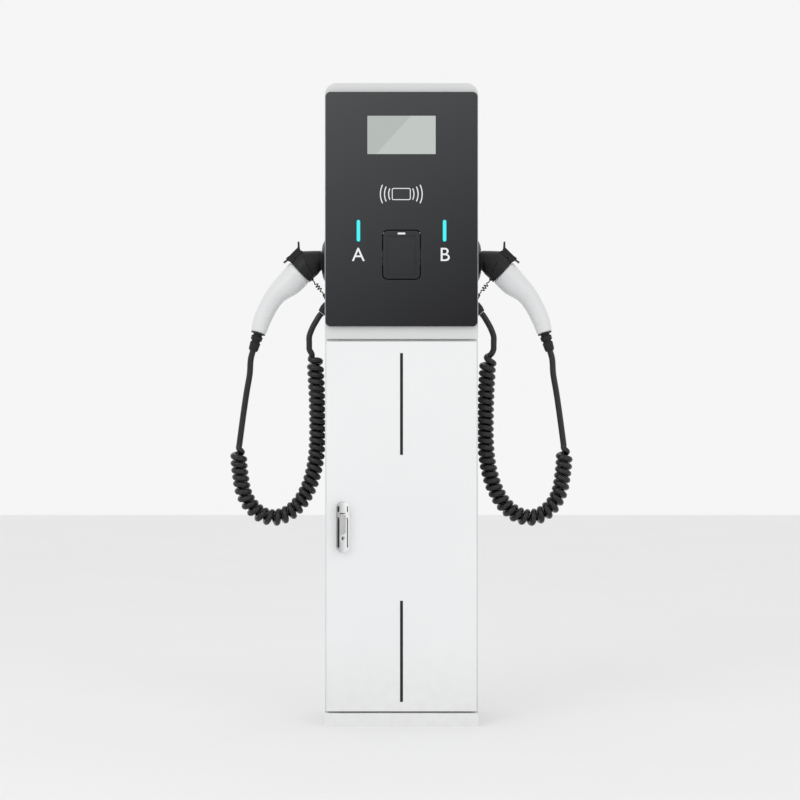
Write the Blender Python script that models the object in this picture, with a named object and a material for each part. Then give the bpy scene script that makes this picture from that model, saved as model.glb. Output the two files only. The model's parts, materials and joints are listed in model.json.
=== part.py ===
"""EV charging post: a sheet-metal pedestal, a charging head on it and two plugs on curly cables.

Metres. +Z is up, the front faces -Y, and the origin is on the ground under the middle of the post.
"""
import math

import bmesh
import bpy
import numpy as np
from mathutils import Matrix, Vector

for old in list(bpy.data.objects):
    bpy.data.objects.remove(old)

# Fits
TOUCH = 0.0003            # gap between faces that rest on each other
PIN_PLAY = 0.0004         # radial play of a pin in its bore
HOLE_PLAY = 0.0006        # radial play of a sleeve in a sheet-metal hole
SIDE_PLAY = 0.0005        # gap beside a tongue or lever in its fork
NOSE_PLAY = 0.0008        # radial play of the plug's nose in its holster

# Post
POST_W = 0.346
PLINTH_H = 0.030
PLINTH_WALL = 0.003
PLINTH_FOOT_W = 0.035
PLINTH_FOOT_T = 0.004
ANCHOR_R = 0.006

# Cabinet
CABINET_D = 0.204
CABINET_H = 0.8427
CABINET_WALL = 0.002
FLANGE_W = 0.036
CABLE_ENTRY_W = 0.200
CABLE_ENTRY_D = 0.110
RISER_R = 0.024
RISER_Y = 0.045

# Door
DOOR_T = 0.018
DOOR_SKIN = 0.0015
DOOR_GAP = 0.002          # between the door's edge and the cabinet's flange
DOOR_MARGIN = 0.0035      # between the door's edge and the cabinet's side
DOOR_FOOT_GAP = 0.0037
DOOR_TOP_GAP = 0.005
DOOR_EASE = 0.0012
HINGE_INSET = 0.006
HINGE_BEHIND = 0.007
HINGE_PIN_R = 0.002
KNUCKLE_R = 0.0038
KNUCKLE_H = 0.022
BRACKET_H = 0.012
BRACKET_REACH = 0.019
BRACKET_FOOT_W = 0.006
BRACKET_DROP = 0.1527     # upper bracket below the cabinet's top
BRACKET_UPS = {"lower": 0.090, "upper": CABINET_H - BRACKET_DROP}
SEAL_W = 0.006
SEAL_INSET = 0.001

# Lock
LOCK_INSET = 0.041
LOCK_UP = 0.4197
LOCK_W = 0.027
LOCK_H = 0.112
LOCK_PROUD = 0.016
LOCK_RIM = 0.0015
LOCK_EASE = 0.0008
LOCK_CORNER = 0.002
LOCK_BASE_T = 0.0022
SPINDLE_R = 0.004
CAM_W = 0.012
CAM_L = 0.026
CAM_T = 0.004
CAM_BEHIND = 0.004        # between the flange's back and the end of the spindle
LIFT_DROP = 0.0155        # lift pin below the spindle
LIFT_PIN_R = 0.0015
TONGUE_W = 0.0114
TONGUE_R = 0.0045
CAP_DROP = 0.007          # cap's lower edge below the lift pin
SHOULDER_GAP = 0.0015
SWING_PLAY = 0.0006       # between the cap's round lower edge and the lifting handle
HANDLE_SET_BACK = 0.001
HANDLE_BACK_GAP = 0.0006
KEY_R = 0.0044
KEY_L = 0.009
KEY_DOWN = 0.025
KEYWAY_W = 0.0012
KEYWAY_H = 0.005

# Head
HEAD_D = 0.218
HEAD_H = 0.578
HEAD_WALL = 0.003
HEAD_TOP_R = 0.026
HEAD_FOOT_R = 0.004
HEAD_EASE = 0.001
PANEL_W = 0.343
PANEL_H = 0.528
PANEL_T = 0.012
PANEL_UP = 0.0283
PANEL_R = 0.011
PANEL_LIP = 0.010
PANEL_EASE = 0.002
SCREEN_W = 0.1543
SCREEN_H = 0.0868
SCREEN_UP = 0.459
LENS_T = 0.003
MODULE_RIM = 0.010
MODULE_T = 0.016
LED_W = 0.0082
LED_H = 0.049
LED_X = 0.097
LED_UP = 0.2436
READER_W = 0.096
READER_H = 0.062
READER_UP = 0.3257
READER_POST = 0.006
BOARD_T = 0.0016
BOARD_POST_R = 0.0035

# Flap and what is behind it
FLAP_W = 0.0825
FLAP_H = 0.108
FLAP_T = 0.005
FLAP_R = 0.010
FLAP_UP = 0.1895
FLAP_GAP = 0.0025
FLAP_PIN_DOWN = 0.005
FLAP_PIN_R = 0.0012
FLAP_PIN_HOLD = 0.004     # length of the pin held in the panel at each end
FLAP_FIELD_INSET = 0.010
FLAP_FIELD_DEEP = 0.0006
FLAP_EASE = 0.0004
BREAKER_W = 0.036
BREAKER_GAP = 0.001
BREAKER_BEHIND = 0.006    # breaker's face behind the head's front sheet
ISOLATOR_W = 0.072
TOGGLE_W = 0.012
TOGGLE_R = 0.005
TOGGLE_L = 0.011
TOGGLE_T = 0.0036
TOGGLE_BEHIND = 0.0015
TOGGLE_TILT = math.radians(25)
TOGGLE_SLOT_H = 0.018
TOGGLE_SLOT_D = 0.008
RAIL_D = 0.0075

# Inside the cabinet
STANDOFF = 0.007
MOUNT_W = 0.260
MOUNT_H = 0.360
MOUNT_T = 0.003
MOUNT_DROP = 0.2527       # middle of the plate below the cabinet's top
MOUNT_UP = CABINET_H - MOUNT_DROP
SUPPLY_DROP = 0.2027      # supply rail below the cabinet's top
SUPPLY_UP = CABINET_H - SUPPLY_DROP

# Plugs: 'out' is measured from the head's side wall, 'up' from the head's underside
PLUG_Y = 0.0
PLUG_UP = 0.1834
NOSE_R = 0.022
NOSE_IN = 0.039
HOLSTER_WALL = 0.0027
HOLSTER_LIP = 0.0042
HOLSTER_TUBE_R = NOSE_R + NOSE_PLAY + HOLSTER_WALL
HOLSTER_IN = 0.045
HOLSTER_FLOOR = 0.003
FORK_HALF = 0.0115
EAR_T = 0.003
LEVER_PIN_R = 0.0015
LEVER_PIVOT = (0.0873, 0.1874)

# Cables
CABLE_DIA = 0.0142
COIL_R = 0.0128
COIL_CURLS = 38
TETHER_DIA = 0.0026
TETHER_R = 0.0042
TETHER_CURLS = 4
CURL_POINTS = 8
END_CURLS = 1.0           # curls over which a coil swells from its straight end
END_STRETCH = 1.3

# Drawing
ROUND_SIDES = 20
SMALL_SIDES = 12
CORNER_STEPS = 5
ROUTE_STEPS = 24
SMOOTH_ANGLE = math.radians(35)

# Depths and heights that follow from the sizes above
SIDE = POST_W / 2
BACK_Y = (CABINET_D + DOOR_GAP + DOOR_T + LOCK_PROUD) / 2
SHELL_FRONT = BACK_Y - CABINET_D
DOOR_BACK = SHELL_FRONT - DOOR_GAP
DOOR_FRONT = DOOR_BACK - DOOR_T
LOCK_FRONT = DOOR_FRONT - LOCK_PROUD
CABINET_Z0 = PLINTH_H + TOUCH
CABINET_Z1 = CABINET_Z0 + CABINET_H
DOOR_Z0 = CABINET_Z0 + DOOR_FOOT_GAP
DOOR_Z1 = CABINET_Z1 - DOOR_TOP_GAP
HEAD_Z0 = CABINET_Z1 + TOUCH
HEAD_FRONT = BACK_Y - HEAD_D
HEAD_BACK_IN = BACK_Y - HEAD_WALL - TOUCH
PANEL_BACK = HEAD_FRONT - TOUCH
PANEL_FRONT = PANEL_BACK - PANEL_T
HINGE_X = SIDE - DOOR_MARGIN - HINGE_INSET
HINGE_Y = DOOR_FRONT + HINGE_BEHIND

FINISHES = {
    "white_paint": ((0.84, 0.85, 0.86), 0.45, 0.0),
    "grey_paint": ((0.70, 0.71, 0.71), 0.45, 0.0),
    "black_gloss": ((0.035, 0.035, 0.039), 0.28, 0.0),
    "black_plastic": ((0.020, 0.020, 0.021), 0.50, 0.0),
    "white_plastic": ((0.78, 0.80, 0.81), 0.35, 0.0),
    "grey_plastic": ((0.33, 0.34, 0.35), 0.50, 0.0),
    "screen_glass": ((0.48, 0.51, 0.49), 0.12, 0.0),
    "led_light": ((0.06, 0.90, 0.93), 0.30, 0.0),
    "chrome": ((0.76, 0.76, 0.77), 0.12, 1.0),
    "steel": ((0.52, 0.53, 0.54), 0.35, 1.0),
    "brass": ((0.72, 0.55, 0.25), 0.35, 1.0),
    "cable_black": ((0.014, 0.014, 0.015), 0.45, 0.0),
    "rubber": ((0.025, 0.025, 0.026), 0.80, 0.0),
    "board_green": ((0.02, 0.13, 0.06), 0.50, 0.0),
}


def finish_material(slot):
    """The material of one finish."""
    known = bpy.data.materials.get(slot)
    if known:
        return known
    colour, roughness, metallic = FINISHES[slot]
    made = bpy.data.materials.new(slot)
    made.use_nodes = True
    shader = made.node_tree.nodes["Principled BSDF"]
    shader.inputs["Base Color"].default_value = (*colour, 1.0)
    shader.inputs["Roughness"].default_value = roughness
    shader.inputs["Metallic"].default_value = metallic
    return made


def block(low, high):
    """A box between two corners."""
    low, high = Vector(low), Vector(high)
    shape = bmesh.new()
    place = Matrix.Translation((low + high) / 2) @ Matrix.Diagonal((*(high - low), 1.0))
    bmesh.ops.create_cube(shape, size=1.0, matrix=place)
    return shape


def extruded(corners, vector):
    """A flat outline pushed along a vector."""
    shape = bmesh.new()
    shape.faces.new([shape.verts.new(corner) for corner in corners])
    bmesh.ops.remove_doubles(shape, verts=shape.verts, dist=1e-6)
    grown = bmesh.ops.extrude_face_region(shape, geom=shape.faces[:])["geom"]
    moved = [item for item in grown if isinstance(item, bmesh.types.BMVert)]
    bmesh.ops.translate(shape, verts=moved, vec=vector)
    return shape


def plate(outline, front, back):
    """An outline seen from the front, as (x, z), thick from one depth to another."""
    return extruded([(x, front, z) for x, z in outline], (0.0, back - front, 0.0))


def slab(outline, left, right):
    """An outline seen from the side, as (y, z), thick from left to right."""
    return extruded([(left, y, z) for y, z in outline], (right - left, 0.0, 0.0))


def rounded(width, height, top, foot, centre):
    """Outline of a rectangle with round corners, one radius at the top and one at the foot."""
    points = []
    for turn, radius in enumerate((top, top, foot, foot)):
        across = 1 if turn in (0, 3) else -1
        above = 1 if turn < 2 else -1
        hub_x = centre[0] + across * (width / 2 - radius)
        hub_z = centre[1] + above * (height / 2 - radius)
        for step in range(CORNER_STEPS + 1):
            angle = math.pi / 2 * (turn + step / CORNER_STEPS)
            points.append((hub_x + radius * math.cos(angle), hub_z + radius * math.sin(angle)))
    return points


def eased(shape, front, width):
    """Break the edges around a front face."""
    rim = [edge for edge in shape.edges if all(abs(v.co.y - front) < 1e-6 for v in edge.verts)]
    bmesh.ops.bevel(shape, geom=rim, offset=width, offset_type="OFFSET", segments=2,
                    profile=0.5, affect="EDGES")
    return shape


def rod(start, end, radius, sides=SMALL_SIDES):
    """A round bar between two points."""
    start, end = Vector(start), Vector(end)
    turn = (end - start).to_track_quat("Z", "Y").to_matrix().to_4x4()
    shape = bmesh.new()
    bmesh.ops.create_cone(shape, cap_ends=True, segments=sides, radius1=radius, radius2=radius,
                          depth=(end - start).length,
                          matrix=Matrix.Translation((start + end) / 2) @ turn)
    return shape


def skin(sections, sides=ROUND_SIDES):
    """A closed skin over a row of ovals: (centre, direction, half height, half depth)."""
    shape = bmesh.new()
    rings = []
    depthwise = Vector((0.0, 1.0, 0.0))
    for centre, direction, half_height, half_depth in sections:
        ahead = Vector(direction).normalized()
        frame = Matrix((ahead.cross(depthwise), depthwise, ahead)).transposed().to_4x4()
        place = Matrix.Translation(centre) @ frame @ Matrix.Diagonal((half_height, half_depth, 1.0, 1.0))
        rings.append(bmesh.ops.create_circle(shape, segments=sides, radius=1.0, matrix=place)["verts"])
    for near, far in zip(rings, rings[1:]):
        for index in range(sides):
            after = (index + 1) % sides
            shape.faces.new((near[index], near[after], far[after], far[index]))
    shape.faces.new(rings[0])
    shape.faces.new(rings[-1])
    return shape


def as_object(name, shape):
    """A scene object from a shape."""
    bmesh.ops.recalc_face_normals(shape, faces=shape.faces)
    mesh = bpy.data.meshes.new(name)
    shape.to_mesh(mesh)
    shape.free()
    made = bpy.data.objects.new(name, mesh)
    bpy.context.scene.collection.objects.link(made)
    return made


def combine(piece, shape, operation):
    """Join a shape to a piece, or cut it out of the piece."""
    tool = as_object("tool", shape)
    step = piece.modifiers.new("step", "BOOLEAN")
    step.operation = operation
    step.solver = "EXACT"
    step.object = tool
    graph = bpy.context.evaluated_depsgraph_get()
    result = bpy.data.meshes.new_from_object(piece.evaluated_get(graph))
    piece.modifiers.clear()
    piece.data = result
    bpy.data.objects.remove(tool)


def hang(piece, carrier):
    """Give a piece or a marker to the marker that carries it."""
    piece.parent = carrier
    piece.matrix_parent_inverse = carrier.matrix_world.inverted()


def build(name, slot, body, add=(), cut=(), carrier=None):
    """One sub-part: a body with shapes joined to it and others cut away."""
    piece = as_object(name, body)
    for shape in add:
        combine(piece, shape, "UNION")
    for shape in cut:
        combine(piece, shape, "DIFFERENCE")
    piece.data.materials.clear()
    piece.data.materials.append(finish_material(slot))
    piece.data.shade_smooth()
    piece.data.set_sharp_from_angle(angle=SMOOTH_ANGLE)
    if carrier:
        hang(piece, carrier)
    return piece


def axis(name, place, carrier=None):
    """A marker on the line that a moving body turns about or slides along."""
    marker = bpy.data.objects.new(name, None)
    marker.empty_display_size = 0.03
    bpy.context.scene.collection.objects.link(marker)
    marker.location = place
    if carrier:
        hang(marker, carrier)
    bpy.context.view_layer.update()
    return marker


# Plinth: a folded frame with an inward foot and rim, open in the middle for the ground cable
foot_y = (DOOR_FRONT, BACK_Y)
foot_mid = sum(foot_y) / 2
anchor_x = SIDE - PLINTH_FOOT_W / 2
anchor_y = (foot_y[1] - foot_y[0]) / 2 - PLINTH_FOOT_W / 2
build(
    "plinth", "white_paint",
    block((-SIDE, foot_y[0], 0.0), (SIDE, foot_y[1], PLINTH_H)),
    cut=[
        block((-SIDE + PLINTH_WALL, foot_y[0] + PLINTH_WALL, PLINTH_FOOT_T),
              (SIDE - PLINTH_WALL, foot_y[1] - PLINTH_WALL, PLINTH_H - PLINTH_WALL)),
        block((-SIDE + PLINTH_FOOT_W, foot_y[0] + PLINTH_FOOT_W, -PLINTH_H),
              (SIDE - PLINTH_FOOT_W, foot_y[1] - PLINTH_FOOT_W, PLINTH_H * 2)),
    ] + [
        rod((x, foot_mid + y, -PLINTH_H), (x, foot_mid + y, PLINTH_H / 2), ANCHOR_R)
        for x in (-anchor_x, anchor_x) for y in (-anchor_y, anchor_y)
    ],
)

# Cabinet: a box with a flange around its front opening
inner = SIDE - CABINET_WALL
mouth = SIDE - FLANGE_W
mouth_z = (CABINET_Z0 + FLANGE_W, CABINET_Z1 - FLANGE_W)
mouth_back = SHELL_FRONT + 2 * CABINET_WALL
build(
    "cabinet_shell", "white_paint",
    block((-SIDE, SHELL_FRONT, CABINET_Z0), (SIDE, BACK_Y, CABINET_Z1)),
    cut=[
        block((-inner, SHELL_FRONT + CABINET_WALL, CABINET_Z0 + CABINET_WALL),
              (inner, BACK_Y - CABINET_WALL, CABINET_Z1 - CABINET_WALL)),
        block((-mouth, SHELL_FRONT - CABINET_WALL, mouth_z[0]), (mouth, mouth_back, mouth_z[1])),
        block((-CABLE_ENTRY_W / 2, -CABLE_ENTRY_D / 2, CABINET_Z0 - CABINET_WALL),
              (CABLE_ENTRY_W / 2, CABLE_ENTRY_D / 2, CABINET_Z0 + 2 * CABINET_WALL)),
        rod((0, RISER_Y, CABINET_Z1 - 2 * CABINET_WALL), (0, RISER_Y, CABINET_Z1 + CABINET_WALL),
            RISER_R, ROUND_SIDES),
    ],
)

# Fixed hinge arms: each reaches round the door's folded edge to the pin inside it
arm_x = HINGE_X - BRACKET_REACH
arm_front = HINGE_Y - 0.004
arm_back = HINGE_Y - 0.001
bracket_bases = {place: CABINET_Z0 + up for place, up in BRACKET_UPS.items()}
for place, base in bracket_bases.items():
    top = base + BRACKET_H
    build(
        f"{place}_hinge_bracket", "steel",
        block((arm_x, arm_front, base), (HINGE_X, arm_back, top)),
        add=[
            block((arm_x, arm_front, base), (arm_x + BRACKET_FOOT_W, SHELL_FRONT - TOUCH, top)),
            rod((HINGE_X, HINGE_Y, base), (HINGE_X, HINGE_Y, top), KNUCKLE_R),
            rod((HINGE_X, HINGE_Y, base + BRACKET_H / 2), (HINGE_X, HINGE_Y, top + KNUCKLE_H * 0.9),
                HINGE_PIN_R),
        ],
    )

# Gasket on the flange, around the cabinet's mouth
seal_in = mouth + SEAL_INSET
seal_out = seal_in + SEAL_W
seal_z = (mouth_z[0] - SEAL_INSET, mouth_z[1] + SEAL_INSET)
seal_y = (DOOR_FRONT + DOOR_SKIN + TOUCH, SHELL_FRONT - TOUCH)
build(
    "door_seal", "rubber",
    block((-seal_out, seal_y[0], seal_z[0] - SEAL_W), (seal_out, seal_y[1], seal_z[1] + SEAL_W)),
    cut=[block((-seal_in, seal_y[0] - SEAL_W, seal_z[0]), (seal_in, seal_y[1] + SEAL_W, seal_z[1]))],
)

# Door: a folded pan with a knuckle over each hinge pin
door_axis = axis("door_axis", (HINGE_X, HINGE_Y, CABINET_Z0))
door_half = SIDE - DOOR_MARGIN
lock_x = -SIDE + LOCK_INSET
lock_z = CABINET_Z0 + LOCK_UP
turn_z = lock_z + LOCK_H / 2 - LOCK_W / 2
knuckles = []
bores = []
for base in bracket_bases.values():
    low = base + BRACKET_H + TOUCH
    high = low + KNUCKLE_H
    knuckles.append(block((HINGE_X - KNUCKLE_R, DOOR_FRONT + DOOR_SKIN / 2, low),
                          (HINGE_X + KNUCKLE_R, HINGE_Y + KNUCKLE_R, high)))
    bores.append(rod((HINGE_X, HINGE_Y, low - BRACKET_H), (HINGE_X, HINGE_Y, high + BRACKET_H),
                     HINGE_PIN_R + PIN_PLAY))
build(
    "door_panel", "white_paint",
    eased(block((-door_half, DOOR_FRONT, DOOR_Z0), (door_half, DOOR_BACK, DOOR_Z1)),
          DOOR_FRONT, DOOR_EASE),
    cut=[
        block((-door_half + DOOR_SKIN, DOOR_FRONT + DOOR_SKIN, DOOR_Z0 + DOOR_SKIN),
              (door_half - DOOR_SKIN, DOOR_BACK + DOOR_T, DOOR_Z1 - DOOR_SKIN)),
        rod((lock_x, DOOR_FRONT - DOOR_T, turn_z), (lock_x, DOOR_BACK, turn_z), SPINDLE_R + HOLE_PLAY),
    ],
    carrier=door_axis,
)
for shape in knuckles:
    combine(bpy.data.objects["door_panel"], shape, "UNION")
for shape in bores:
    combine(bpy.data.objects["door_panel"], shape, "DIFFERENCE")

# Swing-handle lock: a base on the door, a cap that turns, a handle that lifts and a key in it
base_front = DOOR_FRONT - TOUCH - LOCK_BASE_T
build(
    "lock_base", "chrome",
    plate(rounded(LOCK_W + 2 * LOCK_RIM, LOCK_H + 2 * LOCK_RIM, LOCK_W / 2 + LOCK_RIM,
                  LOCK_W / 2 + LOCK_RIM, (lock_x, lock_z)), base_front, DOOR_FRONT - TOUCH),
    cut=[rod((lock_x, base_front - LOCK_PROUD, turn_z), (lock_x, DOOR_FRONT + LOCK_PROUD, turn_z),
             SPINDLE_R + HOLE_PLAY)],
    carrier=door_axis,
)
lock_axis = axis("lock_axis", (lock_x, DOOR_FRONT, turn_z), door_axis)
cap_back = base_front - TOUCH
lift_z = turn_z - LIFT_DROP
lift_y = (cap_back + LOCK_FRONT) / 2 + HANDLE_SET_BACK
cap_z = (lift_z - CAP_DROP, turn_z + LOCK_W / 2)
spindle_end = SHELL_FRONT + CABINET_WALL + CAM_BEHIND
fork_half = TONGUE_W / 2 + SIDE_PLAY
swing_r = CAP_DROP + SHOULDER_GAP - SWING_PLAY
swing_edge = [(lift_y - swing_r * math.cos(turn), lift_z - swing_r * math.sin(turn))
              for turn in np.linspace(0.0, math.pi / 2, 13)]
swing_room = slab(swing_edge + [(lift_y, lift_z - LOCK_W), (lift_y - LOCK_W, lift_z - LOCK_W),
                                (lift_y - LOCK_W, lift_z)], lock_x - LOCK_W, lock_x + LOCK_W)
build(
    "lock_rotor", "chrome",
    eased(plate(rounded(LOCK_W, cap_z[1] - cap_z[0], LOCK_W / 2, LOCK_CORNER,
                        (lock_x, sum(cap_z) / 2)), LOCK_FRONT, cap_back), LOCK_FRONT, LOCK_EASE),
    cut=[block((lock_x - fork_half, LOCK_FRONT - LOCK_PROUD, cap_z[0] - LOCK_W),
               (lock_x + fork_half, cap_back + TOUCH / 2, lift_z + TONGUE_R + HOLE_PLAY)),
         swing_room],
    carrier=lock_axis,
)
for shape in (
    rod((lock_x, cap_back - LOCK_RIM, turn_z), (lock_x, spindle_end, turn_z), SPINDLE_R),
    rod((lock_x - LOCK_W / 3, lift_y, lift_z), (lock_x + LOCK_W / 3, lift_y, lift_z), LIFT_PIN_R),
):
    combine(bpy.data.objects["lock_rotor"], shape, "UNION")
build(
    "lock_cam", "steel",
    block((lock_x - CAM_W / 2, spindle_end + TOUCH, turn_z - CAM_W / 2),
          (lock_x + CAM_W / 2, spindle_end + TOUCH + CAM_T, turn_z + CAM_L)),
    carrier=lock_axis,
)
lift_axis = axis("lift_axis", (lock_x, lift_y, lift_z), lock_axis)
handle_front = LOCK_FRONT + HANDLE_SET_BACK
handle_back = cap_back - HANDLE_BACK_GAP
handle_z = (lock_z - LOCK_H / 2, cap_z[0] - SHOULDER_GAP)
key_z = lock_z - KEY_DOWN
key_front = handle_front - HANDLE_SET_BACK / 2
build(
    "lock_handle", "chrome",
    eased(plate(rounded(LOCK_W, handle_z[1] - handle_z[0], LOCK_CORNER, LOCK_W / 2,
                        (lock_x, sum(handle_z) / 2)), handle_front, handle_back),
          handle_front, LOCK_EASE),
    add=[
        block((lock_x - TONGUE_W / 2, lift_y - TONGUE_R * 0.8, handle_z[1] - TONGUE_R),
              (lock_x + TONGUE_W / 2, lift_y + TONGUE_R * 0.8, lift_z)),
        rod((lock_x - TONGUE_W / 2, lift_y, lift_z), (lock_x + TONGUE_W / 2, lift_y, lift_z),
            TONGUE_R, ROUND_SIDES),
    ],
    cut=[
        rod((lock_x - LOCK_W, lift_y, lift_z), (lock_x + LOCK_W, lift_y, lift_z), LIFT_PIN_R + PIN_PLAY),
        rod((lock_x, handle_front - LOCK_PROUD, key_z),
            (lock_x, key_front + KEY_L + TOUCH, key_z), KEY_R + PIN_PLAY, ROUND_SIDES),
    ],
    carrier=lift_axis,
)
key_axis = axis("key_axis", (lock_x, handle_front, key_z), lift_axis)
build(
    "key_cylinder", "steel",
    rod((lock_x, key_front, key_z), (lock_x, key_front + KEY_L, key_z), KEY_R, ROUND_SIDES),
    cut=[block((lock_x - KEYWAY_W / 2, key_front - KEY_L, key_z - KEYWAY_H / 2),
               (lock_x + KEYWAY_W / 2, key_front + KEY_L / 3, key_z + KEYWAY_H / 2))],
    carrier=key_axis,
)

# Head: a box with round upper corners and a window that the fascia covers
head_mid = (0.0, HEAD_Z0 + HEAD_H / 2)
panel_mid = (0.0, HEAD_Z0 + PANEL_UP + PANEL_H / 2)
side_holes = []
for side in (-1, 1):
    for up, radius in ((PLUG_UP, HOLSTER_TUBE_R + HOLE_PLAY), (0.0755, 0.008 + HOLE_PLAY)):
        side_holes.append(rod((side * (SIDE - 0.010), PLUG_Y, HEAD_Z0 + up),
                              (side * (SIDE + 0.010), PLUG_Y, HEAD_Z0 + up), radius, ROUND_SIDES))
build(
    "head_shell", "grey_paint",
    eased(plate(rounded(POST_W, HEAD_H, HEAD_TOP_R, HEAD_FOOT_R, head_mid), HEAD_FRONT, BACK_Y),
          HEAD_FRONT, HEAD_EASE),
    cut=[
        plate(rounded(POST_W - 2 * HEAD_WALL, HEAD_H - 2 * HEAD_WALL, HEAD_TOP_R - HEAD_WALL,
                      HEAD_FOOT_R - HEAD_WALL, head_mid), HEAD_FRONT + HEAD_WALL, BACK_Y - HEAD_WALL),
        plate(rounded(PANEL_W - 2 * PANEL_LIP, PANEL_H - 2 * PANEL_LIP, PANEL_R, PANEL_R, panel_mid),
              HEAD_FRONT - HEAD_WALL, HEAD_FRONT + 2 * HEAD_WALL),
        rod((0, RISER_Y, HEAD_Z0 - HEAD_WALL), (0, RISER_Y, HEAD_Z0 + 2 * HEAD_WALL), RISER_R,
            ROUND_SIDES),
    ] + side_holes,
)
collar_r = RISER_R - HOLE_PLAY
lip_r = RISER_R + 0.004
lip_t = 0.003
low = CABINET_Z1 - CABINET_WALL - TOUCH
high = HEAD_Z0 + HEAD_WALL + TOUCH
build(
    "riser_grommet", "rubber",
    rod((0, RISER_Y, low - lip_t), (0, RISER_Y, high + lip_t), collar_r, ROUND_SIDES),
    add=[
        rod((0, RISER_Y, low - lip_t), (0, RISER_Y, low), lip_r, ROUND_SIDES),
        rod((0, RISER_Y, high), (0, RISER_Y, high + lip_t), lip_r, ROUND_SIDES),
    ],
    cut=[rod((0, RISER_Y, low - RISER_R), (0, RISER_Y, high + RISER_R), RISER_R * 0.8, ROUND_SIDES)],
)

# Fascia with its cut-outs for the screen, the two lit bars and the flap
screen_z = HEAD_Z0 + SCREEN_UP
led_z = HEAD_Z0 + LED_UP
flap_z = HEAD_Z0 + FLAP_UP
flap_front = PANEL_FRONT + TOUCH
flap_pin_y = flap_front + FLAP_T / 2
flap_pin_z = flap_z + FLAP_H / 2 - FLAP_PIN_DOWN
flap_pin_half = FLAP_W / 2 + FLAP_GAP + FLAP_PIN_HOLD
through = (PANEL_FRONT - PANEL_T, PANEL_BACK + PANEL_T)
build(
    "front_panel", "black_gloss",
    eased(plate(rounded(PANEL_W, PANEL_H, PANEL_R, PANEL_R, panel_mid), PANEL_FRONT, PANEL_BACK),
          PANEL_FRONT, PANEL_EASE),
    cut=[
        block((-SCREEN_W / 2, through[0], screen_z - SCREEN_H / 2),
              (SCREEN_W / 2, through[1], screen_z + SCREEN_H / 2)),
        plate(rounded(FLAP_W + 2 * FLAP_GAP, FLAP_H + 2 * FLAP_GAP, FLAP_R + FLAP_GAP,
                      FLAP_R + FLAP_GAP, (0.0, flap_z)), *through),
        rod((-flap_pin_half - TOUCH, flap_pin_y, flap_pin_z),
            (flap_pin_half + TOUCH, flap_pin_y, flap_pin_z), FLAP_PIN_R + PIN_PLAY),
    ] + [
        block((x - LED_W / 2, through[0], led_z - LED_H / 2), (x + LED_W / 2, through[1], led_z + LED_H / 2))
        for x in (-LED_X, LED_X)
    ],
)
lens_back = PANEL_FRONT + TOUCH + LENS_T
build(
    "display_lens", "screen_glass",
    block((-SCREEN_W / 2 + TOUCH, PANEL_FRONT + TOUCH, screen_z - SCREEN_H / 2 + TOUCH),
          (SCREEN_W / 2 - TOUCH, lens_back, screen_z + SCREEN_H / 2 - TOUCH)),
)
build(
    "display_module", "black_plastic",
    block((-SCREEN_W / 2 - MODULE_RIM, PANEL_BACK + TOUCH, screen_z - SCREEN_H / 2 - MODULE_RIM),
          (SCREEN_W / 2 + MODULE_RIM, PANEL_BACK + MODULE_T, screen_z + SCREEN_H / 2 + MODULE_RIM)),
    add=[block((-SCREEN_W / 2 + 2 * TOUCH, lens_back + TOUCH, screen_z - SCREEN_H / 2 + 2 * TOUCH),
               (SCREEN_W / 2 - 2 * TOUCH, PANEL_BACK + MODULE_T / 2,
                screen_z + SCREEN_H / 2 - 2 * TOUCH))],
)
for letter, x in (("a", -LED_X), ("b", LED_X)):
    build(
        f"led_bar_{letter}", "led_light",
        block((x - LED_W / 2 + TOUCH, PANEL_FRONT + TOUCH, led_z - LED_H / 2 + TOUCH),
              (x + LED_W / 2 - TOUCH, PANEL_BACK, led_z + LED_H / 2 - TOUCH)),
    )
reader_z = HEAD_Z0 + READER_UP
reader_y = PANEL_BACK + TOUCH + READER_POST
build(
    "card_reader_board", "board_green",
    block((-READER_W / 2, reader_y, reader_z - READER_H / 2),
          (READER_W / 2, reader_y + BOARD_T, reader_z + READER_H / 2)),
    add=[
        rod((x, PANEL_BACK + TOUCH, reader_z + z), (x, reader_y + BOARD_T / 2, reader_z + z), BOARD_POST_R)
        for x in (-READER_W * 0.42, READER_W * 0.42) for z in (-READER_H * 0.38, READER_H * 0.38)
    ],
)

# Flap on its pin
flap_axis = axis("flap_axis", (0.0, flap_pin_y, flap_pin_z))
build(
    "flap_pin", "steel",
    rod((-flap_pin_half, flap_pin_y, flap_pin_z), (flap_pin_half, flap_pin_y, flap_pin_z), FLAP_PIN_R),
)
field_x = FLAP_W / 2 - FLAP_FIELD_INSET
field_z = FLAP_H / 2 - FLAP_FIELD_INSET
build(
    "flap_door", "black_gloss",
    eased(plate(rounded(FLAP_W, FLAP_H, FLAP_R, FLAP_R, (0.0, flap_z)), flap_front, flap_front + FLAP_T),
          flap_front, FLAP_EASE),
    cut=[
        block((-field_x, flap_front - FLAP_T, flap_z - field_z),
              (field_x, flap_front + FLAP_FIELD_DEEP, flap_z + field_z)),
        rod((-FLAP_W, flap_pin_y, flap_pin_z), (FLAP_W, flap_pin_y, flap_pin_z), FLAP_PIN_R + PIN_PLAY),
    ],
    carrier=flap_axis,
)

# Modular devices: outline from the rail's face forwards, as (forward, up)
DEVICE = [(0.0, -0.045), (0.0, 0.045), (0.044, 0.045), (0.044, 0.0225), (0.066, 0.0225),
          (0.066, -0.0225), (0.044, -0.0225), (0.044, -0.045)]
DEVICE_D = 0.066
RAIL = [(0.0, -0.0135), (0.0, 0.0135), (0.0065, 0.0135), (0.0065, 0.0175), (RAIL_D, 0.0175),
        (RAIL_D, 0.0125), (0.001, 0.0125), (0.001, -0.0125), (RAIL_D, -0.0125), (RAIL_D, -0.0175),
        (0.0065, -0.0175), (0.0065, -0.0135)]


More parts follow.
